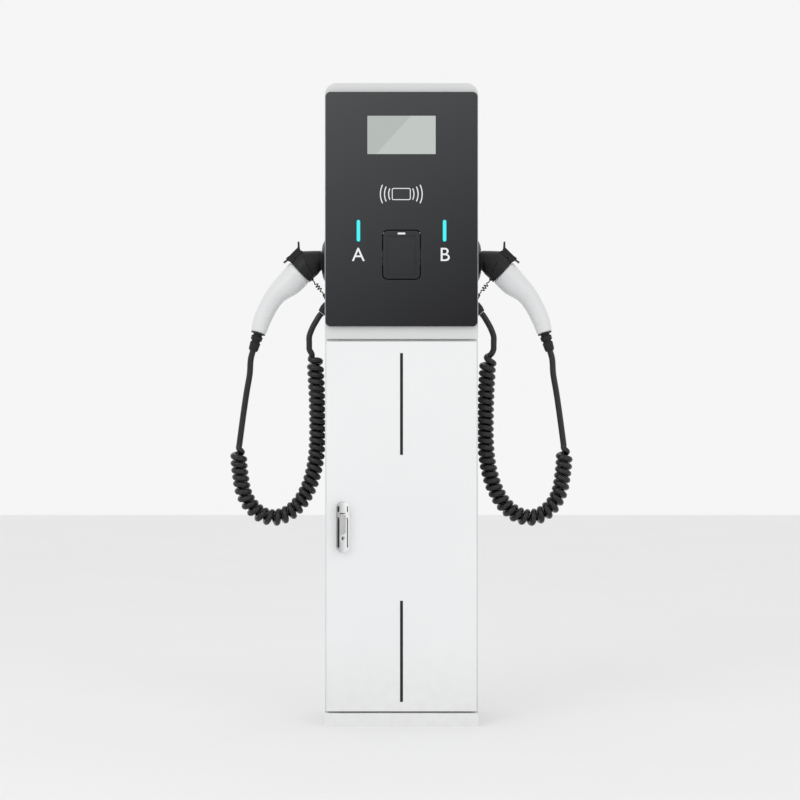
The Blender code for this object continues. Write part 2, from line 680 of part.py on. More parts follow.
def switched(name, toggle_name, x, width, rail_face, z):
    """A rail-mounted breaker and the toggle that turns in its face."""
    face = rail_face - TOUCH - DEVICE_D
    pivot_y = face + TOGGLE_BEHIND
    slot_half = TOGGLE_W / 2 + SIDE_PLAY
    build(
        name, "white_plastic",
        slab([(rail_face - TOUCH - ahead, z + up) for ahead, up in DEVICE], x - width / 2, x + width / 2),
        cut=[block((x - slot_half, face - TOGGLE_SLOT_D, z - TOGGLE_SLOT_H / 2),
                   (x + slot_half, face + TOGGLE_SLOT_D, z + TOGGLE_SLOT_H / 2))],
    )
    marker = axis(f"{toggle_name}_axis", (x, pivot_y, z))
    tip = Vector((0.0, -math.cos(TOGGLE_TILT), math.sin(TOGGLE_TILT)))
    lift = Vector((0.0, math.sin(TOGGLE_TILT), math.cos(TOGGLE_TILT))) * TOGGLE_T / 2
    pivot = Vector((x, pivot_y, z))
    corners = [pivot - lift, pivot + lift, pivot + lift + tip * TOGGLE_L, pivot - lift + tip * TOGGLE_L]
    build(
        toggle_name, "black_plastic",
        rod((x - TOGGLE_W / 2, pivot_y, z), (x + TOGGLE_W / 2, pivot_y, z), TOGGLE_R, ROUND_SIDES),
        add=[slab([(corner.y, corner.z) for corner in corners],
                  x - TOGGLE_W / 2 + TOUCH, x + TOGGLE_W / 2 - TOUCH)],
        carrier=marker,
    )


def rail(name, half, back, z, posts_to):
    """A top-hat rail, carried on two posts."""
    build(
        name, "steel",
        slab([(back - ahead, z + up) for ahead, up in RAIL], -half, half),
        add=[rod((x, back - RAIL[6][0] / 2, z), (x, posts_to, z), 0.006) for x in (-half * 0.7, half * 0.7)],
    )


breaker_rail_face = HEAD_FRONT + BREAKER_BEHIND + DEVICE_D + TOUCH
rail("breaker_rail", 0.060, breaker_rail_face + RAIL_D, flap_z, HEAD_BACK_IN)
for letter, side in (("a", -1), ("b", 1)):
    switched(f"breaker_{letter}", f"toggle_{letter}", side * (BREAKER_W + BREAKER_GAP) / 2, BREAKER_W,
             breaker_rail_face, flap_z)

# Power parts and the controller, on the head's back wall
power_z = HEAD_Z0 + 0.085
for letter, x in (("a", -0.085), ("b", 0.085)):
    build(
        f"contactor_{letter}", "grey_plastic",
        block((x - 0.0225, HEAD_BACK_IN - 0.050, power_z - 0.0375),
              (x + 0.0225, HEAD_BACK_IN, power_z + 0.0375)),
        add=[block((x - 0.0225, HEAD_BACK_IN - 0.070, power_z - 0.021),
                   (x + 0.0225, HEAD_BACK_IN - 0.045, power_z + 0.021))],
    )
build(
    "energy_meter", "white_plastic",
    block((-0.036, HEAD_BACK_IN - 0.045, power_z - 0.045), (0.036, HEAD_BACK_IN, power_z + 0.045)),
    add=[block((-0.036, HEAD_BACK_IN - 0.060, power_z - 0.0225),
               (0.036, HEAD_BACK_IN - 0.040, power_z + 0.0225))],
)
board_z = HEAD_Z0 + 0.430
board_y = HEAD_BACK_IN - 0.008
build(
    "controller_board", "board_green",
    block((-0.100, board_y - BOARD_T, board_z - 0.075), (0.100, board_y, board_z + 0.075)),
    add=[rod((x, board_y - BOARD_T / 2, board_z + z), (x, HEAD_BACK_IN, board_z + z), BOARD_POST_R)
         for x in (-0.090, 0.090) for z in (-0.065, 0.065)]
        + [block((x - wide, board_y - BOARD_T - tall, board_z + z - high),
                 (x + wide, board_y - BOARD_T / 2, board_z + z + high))
           for x, z, wide, high, tall in ((0.0, 0.010, 0.018, 0.018, 0.006),
                                          (-0.060, 0.040, 0.022, 0.015, 0.020),
                                          (0.060, -0.045, 0.030, 0.010, 0.014))],
)

# Supply parts on a plate in the cabinet
mount_back = BACK_Y - CABINET_WALL - TOUCH
mount_front = mount_back - STANDOFF - MOUNT_T
mount_z = CABINET_Z0 + MOUNT_UP
supply_z = CABINET_Z0 + SUPPLY_UP
build(
    "mounting_plate", "steel",
    block((-MOUNT_W / 2, mount_front, mount_z - MOUNT_H / 2),
          (MOUNT_W / 2, mount_front + MOUNT_T, mount_z + MOUNT_H / 2)),
    add=[rod((x, mount_front + MOUNT_T / 2, mount_z + z), (x, mount_back, mount_z + z), 0.005)
         for x in (-MOUNT_W * 0.44, MOUNT_W * 0.44) for z in (-MOUNT_H * 0.44, MOUNT_H * 0.44)],
)
supply_face = mount_front - TOUCH - RAIL_D
build("supply_rail", "steel",
      slab([(mount_front - TOUCH - ahead, supply_z + up) for ahead, up in RAIL], -0.110, 0.110))
switched("supply_isolator", "isolator_toggle", -0.060, ISOLATOR_W, supply_face, supply_z)
build(
    "terminal_block", "grey_plastic",
    block((0.0, supply_face - TOUCH - 0.045, supply_z - 0.025),
          (0.100, supply_face - TOUCH, supply_z + 0.025)),
    cut=[rod((0.010 + 0.020 * index, supply_face - 0.090, supply_z + z),
             (0.010 + 0.020 * index, supply_face - 0.030, supply_z + z), 0.004)
         for index in range(5) for z in (-0.014, 0.014)],
)
earth_z = mount_z - 0.120
build(
    "earth_bar", "brass",
    block((-0.075, mount_front - TOUCH - 0.018, earth_z - 0.006),
          (0.075, mount_front - TOUCH - 0.010, earth_z + 0.006)),
    add=[rod((x, mount_front - TOUCH - 0.014, earth_z), (x, mount_front - TOUCH, earth_z), 0.005)
         for x in (-0.060, 0.060)],
    cut=[rod((0.012 * index, mount_front - 0.040, earth_z),
             (0.012 * index, mount_front - 0.005, earth_z), 0.0025)
         for index in range(-3, 4)],
)

# Plugs. Rows of ovals as (out, up, direction out, direction up, half height, half depth)
ELBOW = [
    (0.0138, 0.1833, 1.0, 0.0, 0.0234, 0.0234),
    (0.0255, 0.1792, 0.981, -0.196, 0.0280, 0.0262),
    (0.0424, 0.1751, 0.911, -0.412, 0.0336, 0.0290),
    (0.0525, 0.1665, 0.822, -0.569, 0.0325, 0.0295),
    (0.0614, 0.1574, 0.723, -0.691, 0.0313, 0.0295),
]
GRIP = [
    (0.0760, 0.1415, 0.660, -0.751, 0.0312, 0.0285),
    (0.0906, 0.1256, 0.598, -0.801, 0.0305, 0.0275),
    (0.1072, 0.1123, 0.498, -0.867, 0.0266, 0.0245),
    (0.1216, 0.0981, 0.388, -0.921, 0.0231, 0.0215),
    (0.1325, 0.0800, 0.292, -0.956, 0.0217, 0.0195),
    (0.1429, 0.0605, 0.260, -0.966, 0.0214, 0.0190),
    (0.1512, 0.0397, 0.270, -0.963, 0.0200, 0.0180),
    (0.1568, 0.0183, 0.287, -0.958, 0.0177, 0.0165),
]
SLEEVE = [
    (0.0, 0.0165), (0.0035, 0.0165), (0.0045, 0.0105), (0.0080, 0.0105), (0.0090, 0.0135),
    (0.0185, 0.0130), (0.0195, 0.0100), (0.0230, 0.0100), (0.0240, 0.0122), (0.0400, 0.0112),
    (0.0443, 0.0092),
]
FLANGE = [(-HOLSTER_IN, HOLSTER_TUBE_R), (TOUCH, HOLSTER_TUBE_R), (TOUCH, 0.0485), (0.0033, 0.0485),
          (0.0083, 0.0380), (0.0103, NOSE_R + NOSE_PLAY + HOLSTER_LIP)]
GLAND = [
    (-0.0120, 0.0755, 1.0, 0.0, 0.0080), (TOUCH, 0.0755, 1.0, 0.0, 0.0080),
    (TOUCH, 0.0755, 1.0, 0.0, 0.0130),
    (0.0035, 0.0752, 0.98, -0.20, 0.0130), (0.0072, 0.0695, 0.83, -0.55, 0.0115),
    (0.0110, 0.0627, 0.66, -0.75, 0.0098),
]
PEG = [(TOUCH, 0.0985, 1.0, 0.0, 0.0055), (0.0030, 0.1000, 0.93, 0.37, 0.0052),
       (0.0066, 0.1066, 0.61, 0.79, 0.0034)]
LEVER = [(0.0876, 0.1824), (0.0892, 0.1838), (0.0975, 0.1775), (0.0993, 0.1799), (0.0910, 0.1862),
         (0.0922, 0.1875), (0.0660, 0.2136), (0.0660, 0.2271), (0.0626, 0.2271), (0.0616, 0.2125),
         (0.0592, 0.2066)]
EAR = [(0.0930, 0.1875), (0.0875, 0.1930), (0.0640, 0.1890), (0.0740, 0.1740)]
BOSS = ((0.0370, 0.1460), (0.0312, 0.1385))
BOSS_R = 0.003

# Route of the cable from the gland to the plug, as (out, up)
ROUTE = [
    (0.0114, 0.0623), (0.0160, 0.0568), (0.0225, 0.0465), (0.0345, 0.0240), (0.0397, 0.0082),
    (0.0397, -0.0060), (0.0397, -0.0202), (0.0325, -0.0345), (0.0275, -0.0490), (0.0245, -0.0833),
    (0.0218, -0.1333), (0.0208, -0.1833), (0.0210, -0.2293), (0.0232, -0.2633), (0.0300, -0.3033),
    (0.0430, -0.3433), (0.0670, -0.3813), (0.0950, -0.4023), (0.1230, -0.4087), (0.1520, -0.4003),
    (0.1740, -0.3815), (0.1900, -0.3533), (0.1983, -0.3126), (0.2022, -0.2683), (0.20085, -0.2402),
    (0.1990, -0.2261), (0.19715, -0.2120), (0.1955, -0.1996), (0.1902, -0.1608), (0.1839, -0.1184),
    (0.1768, -0.0762), (0.1736, -0.0380), (0.16975, -0.0249),
]
TAIL_KNOT = 5
LEAD_KNOT = 25


def at(side, out, up):
    """A place beside the head."""
    return Vector((side * (SIDE + out), PLUG_Y, HEAD_Z0 + up))


def ovals(side, rows):
    """Sections beside the head from rows of (out, up, direction, half height, half depth)."""
    return [(at(side, row[0], row[1]), (side * row[2], 0.0, row[3]), row[4], row[-1]) for row in rows]


def beside(side, outline):
    """An outline beside the head, as (x, z)."""
    return [(side * (SIDE + out), HEAD_Z0 + up) for out, up in outline]


def smooth_route(points):
    """A smooth line through hand-chosen points."""
    knots = np.array(points)
    lengths = np.linalg.norm(np.diff(knots, axis=0), axis=1)
    slopes = np.diff(knots, axis=0) / lengths[:, None]
    blend = lengths[1:, None] * slopes[:-1] + lengths[:-1, None] * slopes[1:]
    inner_slopes = blend / (lengths[:-1] + lengths[1:])[:, None]
    tangents = np.vstack([slopes[:1], inner_slopes, slopes[-1:]])
    t = np.linspace(0.0, 1.0, ROUTE_STEPS, endpoint=False)[:, None]
    rows = []
    for near, far, leaving, arriving, length in zip(knots, knots[1:], tangents, tangents[1:], lengths):
        rows.append(near * (2 * t**3 - 3 * t**2 + 1) + far * (3 * t**2 - 2 * t**3)
                    + length * leaving * (t**3 - 2 * t**2 + t) + length * arriving * (t**3 - t**2))
    rows.append(knots[-1:])
    return np.vstack(rows)


def travelled(line):
    """Distance along a line at each of its points."""
    return np.concatenate([[0.0], np.cumsum(np.linalg.norm(np.diff(line, axis=0), axis=1))])


def walk(line, distances):
    """Points of a line at the given distances along it."""
    marks = travelled(line)
    return np.column_stack([np.interp(distances, marks, line[:, k]) for k in range(3)])


def curls(line, start, end, radius, count, diameter):
    """Points of a curly cord around a line, even on the inside of its bends, with straight ends."""
    turns = np.linspace(0.0, count, count * CURL_POINTS + 1)
    nearest = np.clip(np.minimum(turns, count - turns) / END_CURLS, 0.0, 1.0)
    pace = 1.0 + END_STRETCH * (1.0 - nearest)
    advance = np.concatenate([[0.0], np.cumsum((pace[1:] + pace[:-1]) / 2)])
    steps = np.diff(line, axis=0)
    heading = np.unwrap(np.arctan2(steps[:, 2], steps[:, 0]))
    turned = np.concatenate([[0.0, 0.0], np.cumsum(np.abs(np.diff(heading)))])
    marks = travelled(line)
    inner_marks = marks - radius * turned
    first, last = np.interp([start + diameter, end - diameter], marks, inner_marks)
    places = np.interp(first + (last - first) * advance / advance[-1], inner_marks, marks)
    ahead = walk(line, places + diameter / 4) - walk(line, places - diameter / 4)
    ahead /= np.linalg.norm(ahead, axis=1)[:, None]
    depthwise = np.array([0.0, 1.0, 0.0])
    reach = (radius * nearest * nearest * (3 - 2 * nearest))[:, None]
    angle = (2 * np.pi * turns)[:, None]
    swing = np.cos(angle) * np.cross(ahead, depthwise) + np.sin(angle) * depthwise
    return np.vstack([walk(line, [start]), walk(line, places) + reach * swing, walk(line, [end])])


def least_gap(points, diameter):
    """Smallest gap between two stretches of one cord."""
    marks = travelled(points)
    apart = np.linalg.norm(points[:, None] - points[None], axis=2)
    far = np.abs(marks[:, None] - marks[None]) > 2.2 * diameter
    return apart[far].min() - diameter


def cord(name, points, diameter, resolution, slot):
    """A round cord along a row of points."""
    curve = bpy.data.curves.new(name, "CURVE")
    curve.dimensions = "3D"
    curve.fill_mode = "FULL"
    curve.bevel_depth = diameter / 2
    curve.bevel_resolution = resolution
    curve.use_fill_caps = True
    line = curve.splines.new("POLY")
    line.points.add(len(points) - 1)
    for spot, place in zip(line.points, points):
        spot.co = (*place, 1.0)
    curve.materials.append(finish_material(slot))
    made = bpy.data.objects.new(name, curve)
    bpy.context.scene.collection.objects.link(made)


for name, side in (("left", -1), ("right", 1)):
    outward = (side, 0.0, 0.0)
    build(
        f"{name}_holster", "black_plastic",
        skin([(at(side, out, PLUG_UP), outward, radius, radius) for out, radius in FLANGE]),
        cut=[rod(at(side, HOLSTER_FLOOR - HOLSTER_IN, PLUG_UP), at(side, HOLSTER_IN, PLUG_UP),
                 NOSE_R + NOSE_PLAY, ROUND_SIDES)],
    )
    build(f"{name}_cable_gland", "black_plastic", skin(ovals(side, GLAND)))
    build(f"{name}_tether_anchor", "black_plastic", skin(ovals(side, PEG), SMALL_SIDES))

    # The plug slides off sideways and carries a sprung thumb lever
    plug_axis = axis(f"{name}_plug_axis", at(side, 0.0, PLUG_UP))
    nose = [(at(side, out, PLUG_UP), outward, radius, radius)
            for out, radius in ((-NOSE_IN, NOSE_R - 0.002), (-NOSE_IN + 0.003, NOSE_R), (0.0118, NOSE_R))]
    pin_half = FORK_HALF + EAR_T
    pivot = at(side, *LEVER_PIVOT)
    build(
        f"{name}_connector_head", "black_plastic",
        skin(nose + ovals(side, ELBOW)),
        add=[
            rod(at(side, *BOSS[0]), at(side, *BOSS[1]), BOSS_R),
            plate(beside(side, EAR), PLUG_Y - pin_half, PLUG_Y - FORK_HALF),
            plate(beside(side, EAR), PLUG_Y + FORK_HALF, PLUG_Y + pin_half),
            rod(pivot - Vector((0, pin_half - TOUCH, 0)), pivot + Vector((0, pin_half - TOUCH, 0)),
                LEVER_PIN_R),
        ],
        carrier=plug_axis,
    )
    end = ELBOW[-1]
    grip_start = (end[0] + end[2] * TOUCH, end[1] + end[3] * TOUCH, end[2], end[3], end[4] - TOUCH,
                  end[5] - TOUCH)
    build(f"{name}_connector_handle", "white_plastic", skin(ovals(side, [grip_start] + GRIP)),
          carrier=plug_axis)
    end = GRIP[-1]
    sleeve = [(end[0] + end[2] * (along + TOUCH), end[1] + end[3] * (along + TOUCH), end[2], end[3], radius)
              for along, radius in SLEEVE]
    build(f"{name}_strain_relief", "black_plastic", skin(ovals(side, sleeve)), carrier=plug_axis)
    lever_axis = axis(f"{name}_lever_axis", pivot, plug_axis)
    lever_half = FORK_HALF - SIDE_PLAY
    build(
        f"{name}_latch_lever", "black_plastic",
        plate(beside(side, LEVER), PLUG_Y - lever_half, PLUG_Y + lever_half),
        cut=[rod(pivot - Vector((0, 2 * FORK_HALF, 0)), pivot + Vector((0, 2 * FORK_HALF, 0)),
                 LEVER_PIN_R + PIN_PLAY)],
        carrier=lever_axis,
    )

    # The cable: a tail from the gland, the coil that hangs in a loop, and the lead up to the plug
    route = smooth_route([at(side, out, up) for out, up in ROUTE])
    marks = travelled(route)
    knots = marks[::ROUTE_STEPS]
    split = knots[TAIL_KNOT]
    joint = knots[LEAD_KNOT]
    tail = walk(route, np.append(np.linspace(0.0, knots[TAIL_KNOT - 1], 6), split - TOUCH))
    climb = np.linspace(knots[LEAD_KNOT + 1], knots[-2], 8)
    lead = walk(route, np.concatenate([[joint + TOUCH], climb, [knots[-1]]]))
    coil = curls(route, split + TOUCH, joint - TOUCH, COIL_R, COIL_CURLS, CABLE_DIA)
    cord(f"{name}_cable_tail", tail, CABLE_DIA, 3, "cable_black")
    cord(f"{name}_cable_coil", coil, CABLE_DIA, 1, "cable_black")
    cord(f"{name}_cable_lead", lead, CABLE_DIA, 3, "cable_black")

    # The thin curly tether between the plug and its peg
    pull = np.array([at(side, *BOSS[1]), at(side, PEG[-1][0], PEG[-1][1])])
    reach = travelled(pull)[-1]
    strap = curls(pull, TOUCH, reach - TOUCH, TETHER_R, TETHER_CURLS, TETHER_DIA)
    cord(f"{name}_tether", strap, TETHER_DIA, 1, "cable_black")
    for label, points, diameter in (("coil", coil, CABLE_DIA), ("tether", strap, TETHER_DIA)):
        print(f"{name} {label}: least gap {least_gap(points, diameter) * 1000:.2f} mm,"
              f" length {travelled(points)[-1]:.3f} m")
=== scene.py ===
# %% [markdown]
# This lesson dresses a charging post: a white sheet-metal pedestal with a black charging head on it,
# and a plug on a curly cable at each side. The solid model comes in as a fixed frame. Everything that
# is added here is placed in the same metres, so that the two fit together.

# %% Load the frame
import json
import math

import bmesh
import bpy
import numpy as np
from mathutils import Matrix, Vector


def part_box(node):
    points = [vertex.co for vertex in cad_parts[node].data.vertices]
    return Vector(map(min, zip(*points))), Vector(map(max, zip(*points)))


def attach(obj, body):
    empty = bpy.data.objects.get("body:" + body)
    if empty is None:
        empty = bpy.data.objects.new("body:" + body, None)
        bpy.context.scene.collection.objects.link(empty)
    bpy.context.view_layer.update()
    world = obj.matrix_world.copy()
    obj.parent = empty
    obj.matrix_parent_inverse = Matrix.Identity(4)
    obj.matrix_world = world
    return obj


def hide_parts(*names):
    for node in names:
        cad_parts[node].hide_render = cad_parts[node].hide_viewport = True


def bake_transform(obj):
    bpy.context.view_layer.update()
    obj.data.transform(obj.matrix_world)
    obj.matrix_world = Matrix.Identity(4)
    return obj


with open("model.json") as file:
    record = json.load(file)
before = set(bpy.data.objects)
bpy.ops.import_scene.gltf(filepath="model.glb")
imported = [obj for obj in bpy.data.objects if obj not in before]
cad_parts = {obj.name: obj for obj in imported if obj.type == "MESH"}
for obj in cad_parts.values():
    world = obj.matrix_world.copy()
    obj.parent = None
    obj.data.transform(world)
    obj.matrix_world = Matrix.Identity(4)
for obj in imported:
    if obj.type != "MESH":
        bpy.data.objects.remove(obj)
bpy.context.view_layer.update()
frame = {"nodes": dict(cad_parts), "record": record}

SIDES = {"left": -1, "right": 1}
nodes = frame["nodes"]

# %% [markdown]
# The photograph is taken straight from the front with a long lens, at half the post's height. The
# front covers 1.8 metres of the square picture, and the post stands a hair to the right of its middle.

# %% Camera
PICTURE_W = 1.8
CAMERA_BACK = 4.4
CAMERA_X = -0.0034
CAMERA_Z = 0.7358
SENSOR_MM = 36.0
fascia_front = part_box("front_panel")[0].y
lens = bpy.data.cameras.new("front camera")
lens.sensor_width = SENSOR_MM
lens.lens = SENSOR_MM * CAMERA_BACK / PICTURE_W
camera = bpy.data.objects.new("front camera", lens)
bpy.context.scene.collection.objects.link(camera)
camera.location = (CAMERA_X, fascia_front - CAMERA_BACK, CAMERA_Z)
camera.rotation_euler = (math.radians(90), 0.0, 0.0)
bpy.context.scene.camera = camera
print("lens", round(lens.lens, 1), "mm")

# %% [markdown]
# Two effects are shared by most finishes, so each is a node group. The first gives the fine relief and
# slow tone changes of a painted or moulded surface. The second is the road dust that gathers low down.

# %% Shared effects
SPECK_SCALE = 38.0
SPECK_DETAIL = 6.0


def empty_group(name, inputs, outputs):
    """A shader group with number inputs and outputs."""
    group = bpy.data.node_groups.new(name, "ShaderNodeTree")
    for socket, value in inputs:
        made = group.interface.new_socket(socket, in_out="INPUT", socket_type="NodeSocketFloat")
        made.default_value = value
    for socket in outputs:
        group.interface.new_socket(socket, in_out="OUTPUT", socket_type="NodeSocketFloat")
    entry = group.nodes.new("NodeGroupInput")
    leave = group.nodes.new("NodeGroupOutput")
    return group, entry, leave


grain_group, entry, leave = empty_group(
    "surface grain", [("Scale", 900.0), ("Cloud Scale", 6.0)], ["Relief", "Cloud"])
place = grain_group.nodes.new("ShaderNodeTexCoord")
for source, target, detail in (("Scale", "Relief", 2.0), ("Cloud Scale", "Cloud", 4.0)):
    noise = grain_group.nodes.new("ShaderNodeTexNoise")
    noise.inputs["Detail"].default_value = detail
    grain_group.links.new(place.outputs["Object"], noise.inputs["Vector"])
    grain_group.links.new(entry.outputs[source], noise.inputs["Scale"])
    grain_group.links.new(noise.outputs["Fac"], leave.inputs[target])

dust_group, entry, leave = empty_group("road dust", [("Reach", 0.22), ("Strength", 0.35)], ["Dust"])
place = dust_group.nodes.new("ShaderNodeTexCoord")
split = dust_group.nodes.new("ShaderNodeSeparateXYZ")
fade = dust_group.nodes.new("ShaderNodeMapRange")
fade.interpolation_type = "SMOOTHSTEP"
fade.inputs["To Min"].default_value = 1.0
fade.inputs["To Max"].default_value = 0.0
specks = dust_group.nodes.new("ShaderNodeTexNoise")
specks.inputs["Scale"].default_value = SPECK_SCALE
specks.inputs["Detail"].default_value = SPECK_DETAIL
amount = dust_group.nodes.new("ShaderNodeMath")
amount.operation = "MULTIPLY"
total = dust_group.nodes.new("ShaderNodeMath")
total.operation = "MULTIPLY"
dust_group.links.new(place.outputs["Object"], split.inputs["Vector"])
dust_group.links.new(place.outputs["Object"], specks.inputs["Vector"])
dust_group.links.new(split.outputs["Z"], fade.inputs["Value"])
dust_group.links.new(entry.outputs["Reach"], fade.inputs["From Max"])
dust_group.links.new(fade.outputs["Result"], amount.inputs[0])
dust_group.links.new(specks.outputs["Fac"], amount.inputs[1])
dust_group.links.new(amount.outputs["Value"], total.inputs[0])
dust_group.links.new(entry.outputs["Strength"], total.inputs[1])
dust_group.links.new(total.outputs["Value"], leave.inputs["Dust"])
print("shared effects:", [group.name for group in bpy.data.node_groups])

# %% [markdown]
# A finish mixes two close tones, moves its roughness with the slow cloud and takes a fine bump. Most
# mix their tones by the cloud as well. A painted-light sweep mixes them along a direction instead, as on
# the fascia, which is painted lighter at its upper left, as if lit from there. Numbers that are the same
# all over stay on the shader itself.

# %% How a finish is made
DUST_TONE = (0.42, 0.39, 0.34)
RELIEF_DEPTH = 0.0004
FIRST_COLOUR, SECOND_COLOUR, MIXED_COLOUR = 6, 7, 2   # the mix node's sockets for colours


def tone_mix(tree, factor, first, second):
    """A colour mix that follows a factor."""
    mix = tree.nodes.new("ShaderNodeMix")
    mix.data_type = "RGBA"
    tree.links.new(factor, mix.inputs["Factor"])
    for socket, colour in ((mix.inputs[FIRST_COLOUR], first), (mix.inputs[SECOND_COLOUR], second)):
        if isinstance(colour, tuple):
            socket.default_value = (*colour, 1.0)
        else:
            tree.links.new(colour, socket)
    return mix.outputs[MIXED_COLOUR]


def surface(name, low, high, rough, grain, cloud, bump, metallic=0.0, coat=0.0, dust=0.0, shine=0.5,
            painted_light_sweep=None):
    """A finish between two tones, with fine relief."""
    made = bpy.data.materials.new(name)
    made.use_nodes = True
    tree = made.node_tree
    shader = tree.nodes["Principled BSDF"]
    relief = tree.nodes.new("ShaderNodeGroup")
    relief.node_tree = grain_group
    relief.inputs["Scale"].default_value = grain
    relief.inputs["Cloud Scale"].default_value = cloud
    factor = relief.outputs["Cloud"]
    if painted_light_sweep:
        direction, start, end = painted_light_sweep
        where = tree.nodes.new("ShaderNodeTexCoord")
        along = tree.nodes.new("ShaderNodeVectorMath")
        along.operation = "DOT_PRODUCT"
        along.inputs[1].default_value = direction
        share = tree.nodes.new("ShaderNodeMapRange")
        share.inputs["From Min"].default_value = start
        share.inputs["From Max"].default_value = end
        tree.links.new(where.outputs["Object"], along.inputs[0])
        tree.links.new(along.outputs["Value"], share.inputs["Value"])
        factor = share.outputs["Result"]
    colour = tone_mix(tree, factor, low, high)
    if dust:
        dirt = tree.nodes.new("ShaderNodeGroup")
        dirt.node_tree = dust_group
        dirt.inputs["Strength"].default_value = dust
        colour = tone_mix(tree, dirt.outputs["Dust"], colour, DUST_TONE)
    tree.links.new(colour, shader.inputs["Base Color"])
    gloss = tree.nodes.new("ShaderNodeMapRange")
    gloss.inputs["To Min"].default_value = rough[0]
    gloss.inputs["To Max"].default_value = rough[1]
    tree.links.new(relief.outputs["Cloud"], gloss.inputs["Value"])
    tree.links.new(gloss.outputs["Result"], shader.inputs["Roughness"])
    raised = tree.nodes.new("ShaderNodeBump")
    raised.inputs["Strength"].default_value = bump
    raised.inputs["Distance"].default_value = RELIEF_DEPTH
    tree.links.new(relief.outputs["Relief"], raised.inputs["Height"])
    tree.links.new(raised.outputs["Normal"], shader.inputs["Normal"])
    shader.inputs["Metallic"].default_value = metallic
    shader.inputs["Coat Weight"].default_value = coat
    shader.inputs["Specular IOR Level"].default_value = shine
    return made


def glowing(made, colour, strength):
    """Let a finish give light."""
    shader = made.node_tree.nodes["Principled BSDF"]
    shader.inputs["Emission Color"].default_value = (*colour, 1.0)
    shader.inputs["Emission Strength"].default_value = strength
    return made


print("finish makers:", [maker.__name__ for maker in (surface, glowing)])

# %% [markdown]
# Each part of the solid model names the finish that it wants. Black plastics get a low shine: under an
# even white sky, the usual reflection would turn them grey.

# %% Finishes
# A painted-light sweep is a direction, and how far along it the first tone ends and the second is reached.
# Each one paints light or shade into the tones: light on the fascia, a reflection on the lock's chrome, a
# glare line on the screen.
# Painted light: the fascia is painted lighter at its upper left and darker towards its lower right.
FASCIA_PAINTED_LIGHT = ((0.45, 0.0, -0.9), -1.36, -0.75)
# Painted reflection: the lock's chrome goes from dark at its left to bright across its middle and right.
LOCK_PAINTED_REFLECTION = ((1.0, 0.0, 0.0), -0.1455, -0.1260)
# Painted glare: a slanted step paints the screen lighter at its lower right, as a reflection would.
SCREEN_PAINTED_GLARE = ((0.74, 0.0, -0.67), -0.907, -0.905)
finishes = {
    "white_paint": surface("white powder coat", (0.80, 0.81, 0.82), (0.86, 0.87, 0.87), (0.34, 0.46),
                           grain=700, cloud=3, bump=0.10, dust=0.25),
    "grey_paint": surface("grey powder coat", (0.66, 0.67, 0.67), (0.72, 0.72, 0.72), (0.36, 0.48),
                          grain=700, cloud=3, bump=0.10),
    # The fascia's fall-off from its upper left is painted light.
    "black_gloss": surface("black fascia with painted light", (0.061, 0.064, 0.066), (0.010, 0.010, 0.013), (0.24, 0.34),
                           grain=1500, cloud=4, bump=0.03, shine=0.2, painted_light_sweep=FASCIA_PAINTED_LIGHT),
    "black_plastic": surface("black moulding", (0.006, 0.006, 0.007), (0.012, 0.012, 0.013), (0.32, 0.48),
                             grain=1800, cloud=9, bump=0.22, shine=0.3),
    "white_plastic": surface("white moulding", (0.68, 0.69, 0.70), (0.74, 0.75, 0.75), (0.28, 0.40),
                             grain=1500, cloud=8, bump=0.06, coat=0.15),
    "grey_plastic": surface("grey moulding", (0.30, 0.31, 0.32), (0.36, 0.37, 0.38), (0.45, 0.60),
                            grain=1500, cloud=8, bump=0.15),
    # The screen's tones carry a painted glare line, and its glow is painted light: the unlit screen gives
    # light though it is no lamp.
    "screen_glass": glowing(surface("screen with painted glare and glow", (0.33, 0.36, 0.34), (0.40, 0.43, 0.41), (0.08, 0.14),
                                    grain=400, cloud=2, bump=0.01, coat=0.3, painted_light_sweep=SCREEN_PAINTED_GLARE),
                            (0.42, 0.46, 0.43), 0.22),
    "led_light": glowing(surface("lit diffuser", (0.02, 0.34, 0.37), (0.03, 0.40, 0.43), (0.25, 0.35),
                                 grain=600, cloud=9, bump=0.05),
                         (0.045, 0.93, 0.97), 0.56),
    # The chrome's dark left and bright middle are a painted reflection.
    "chrome": surface("chromed casting with painted reflection", (0.34, 0.34, 0.35), (0.95, 0.95, 0.96), (0.07, 0.16),
                      grain=500, cloud=30, bump=0.02, metallic=1.0, painted_light_sweep=LOCK_PAINTED_REFLECTION),
    "steel": surface("zinc-plated steel", (0.46, 0.47, 0.48), (0.58, 0.58, 0.57), (0.28, 0.46),
                     grain=900, cloud=40, bump=0.08, metallic=1.0),
    "brass": surface("brass bar", (0.66, 0.48, 0.20), (0.76, 0.58, 0.28), (0.25, 0.42),
                     grain=900, cloud=30, bump=0.08, metallic=1.0),
    "cable_black": surface("cable sheath", (0.005, 0.005, 0.006), (0.010, 0.010, 0.011), (0.24, 0.36),
                           grain=1200, cloud=14, bump=0.08, coat=0.15, shine=0.35),
    "rubber": surface("rubber", (0.010, 0.010, 0.010), (0.018, 0.018, 0.017), (0.68, 0.85),
                      grain=1400, cloud=12, bump=0.30, shine=0.35),
    "board_green": surface("circuit board", (0.012, 0.10, 0.045), (0.022, 0.15, 0.07), (0.35, 0.50),
                           grain=600, cloud=60, bump=0.20),
}
white_print = surface("white print", (0.80, 0.81, 0.82), (0.88, 0.88, 0.88), (0.40, 0.50),
                      grain=900, cloud=20, bump=0.05)
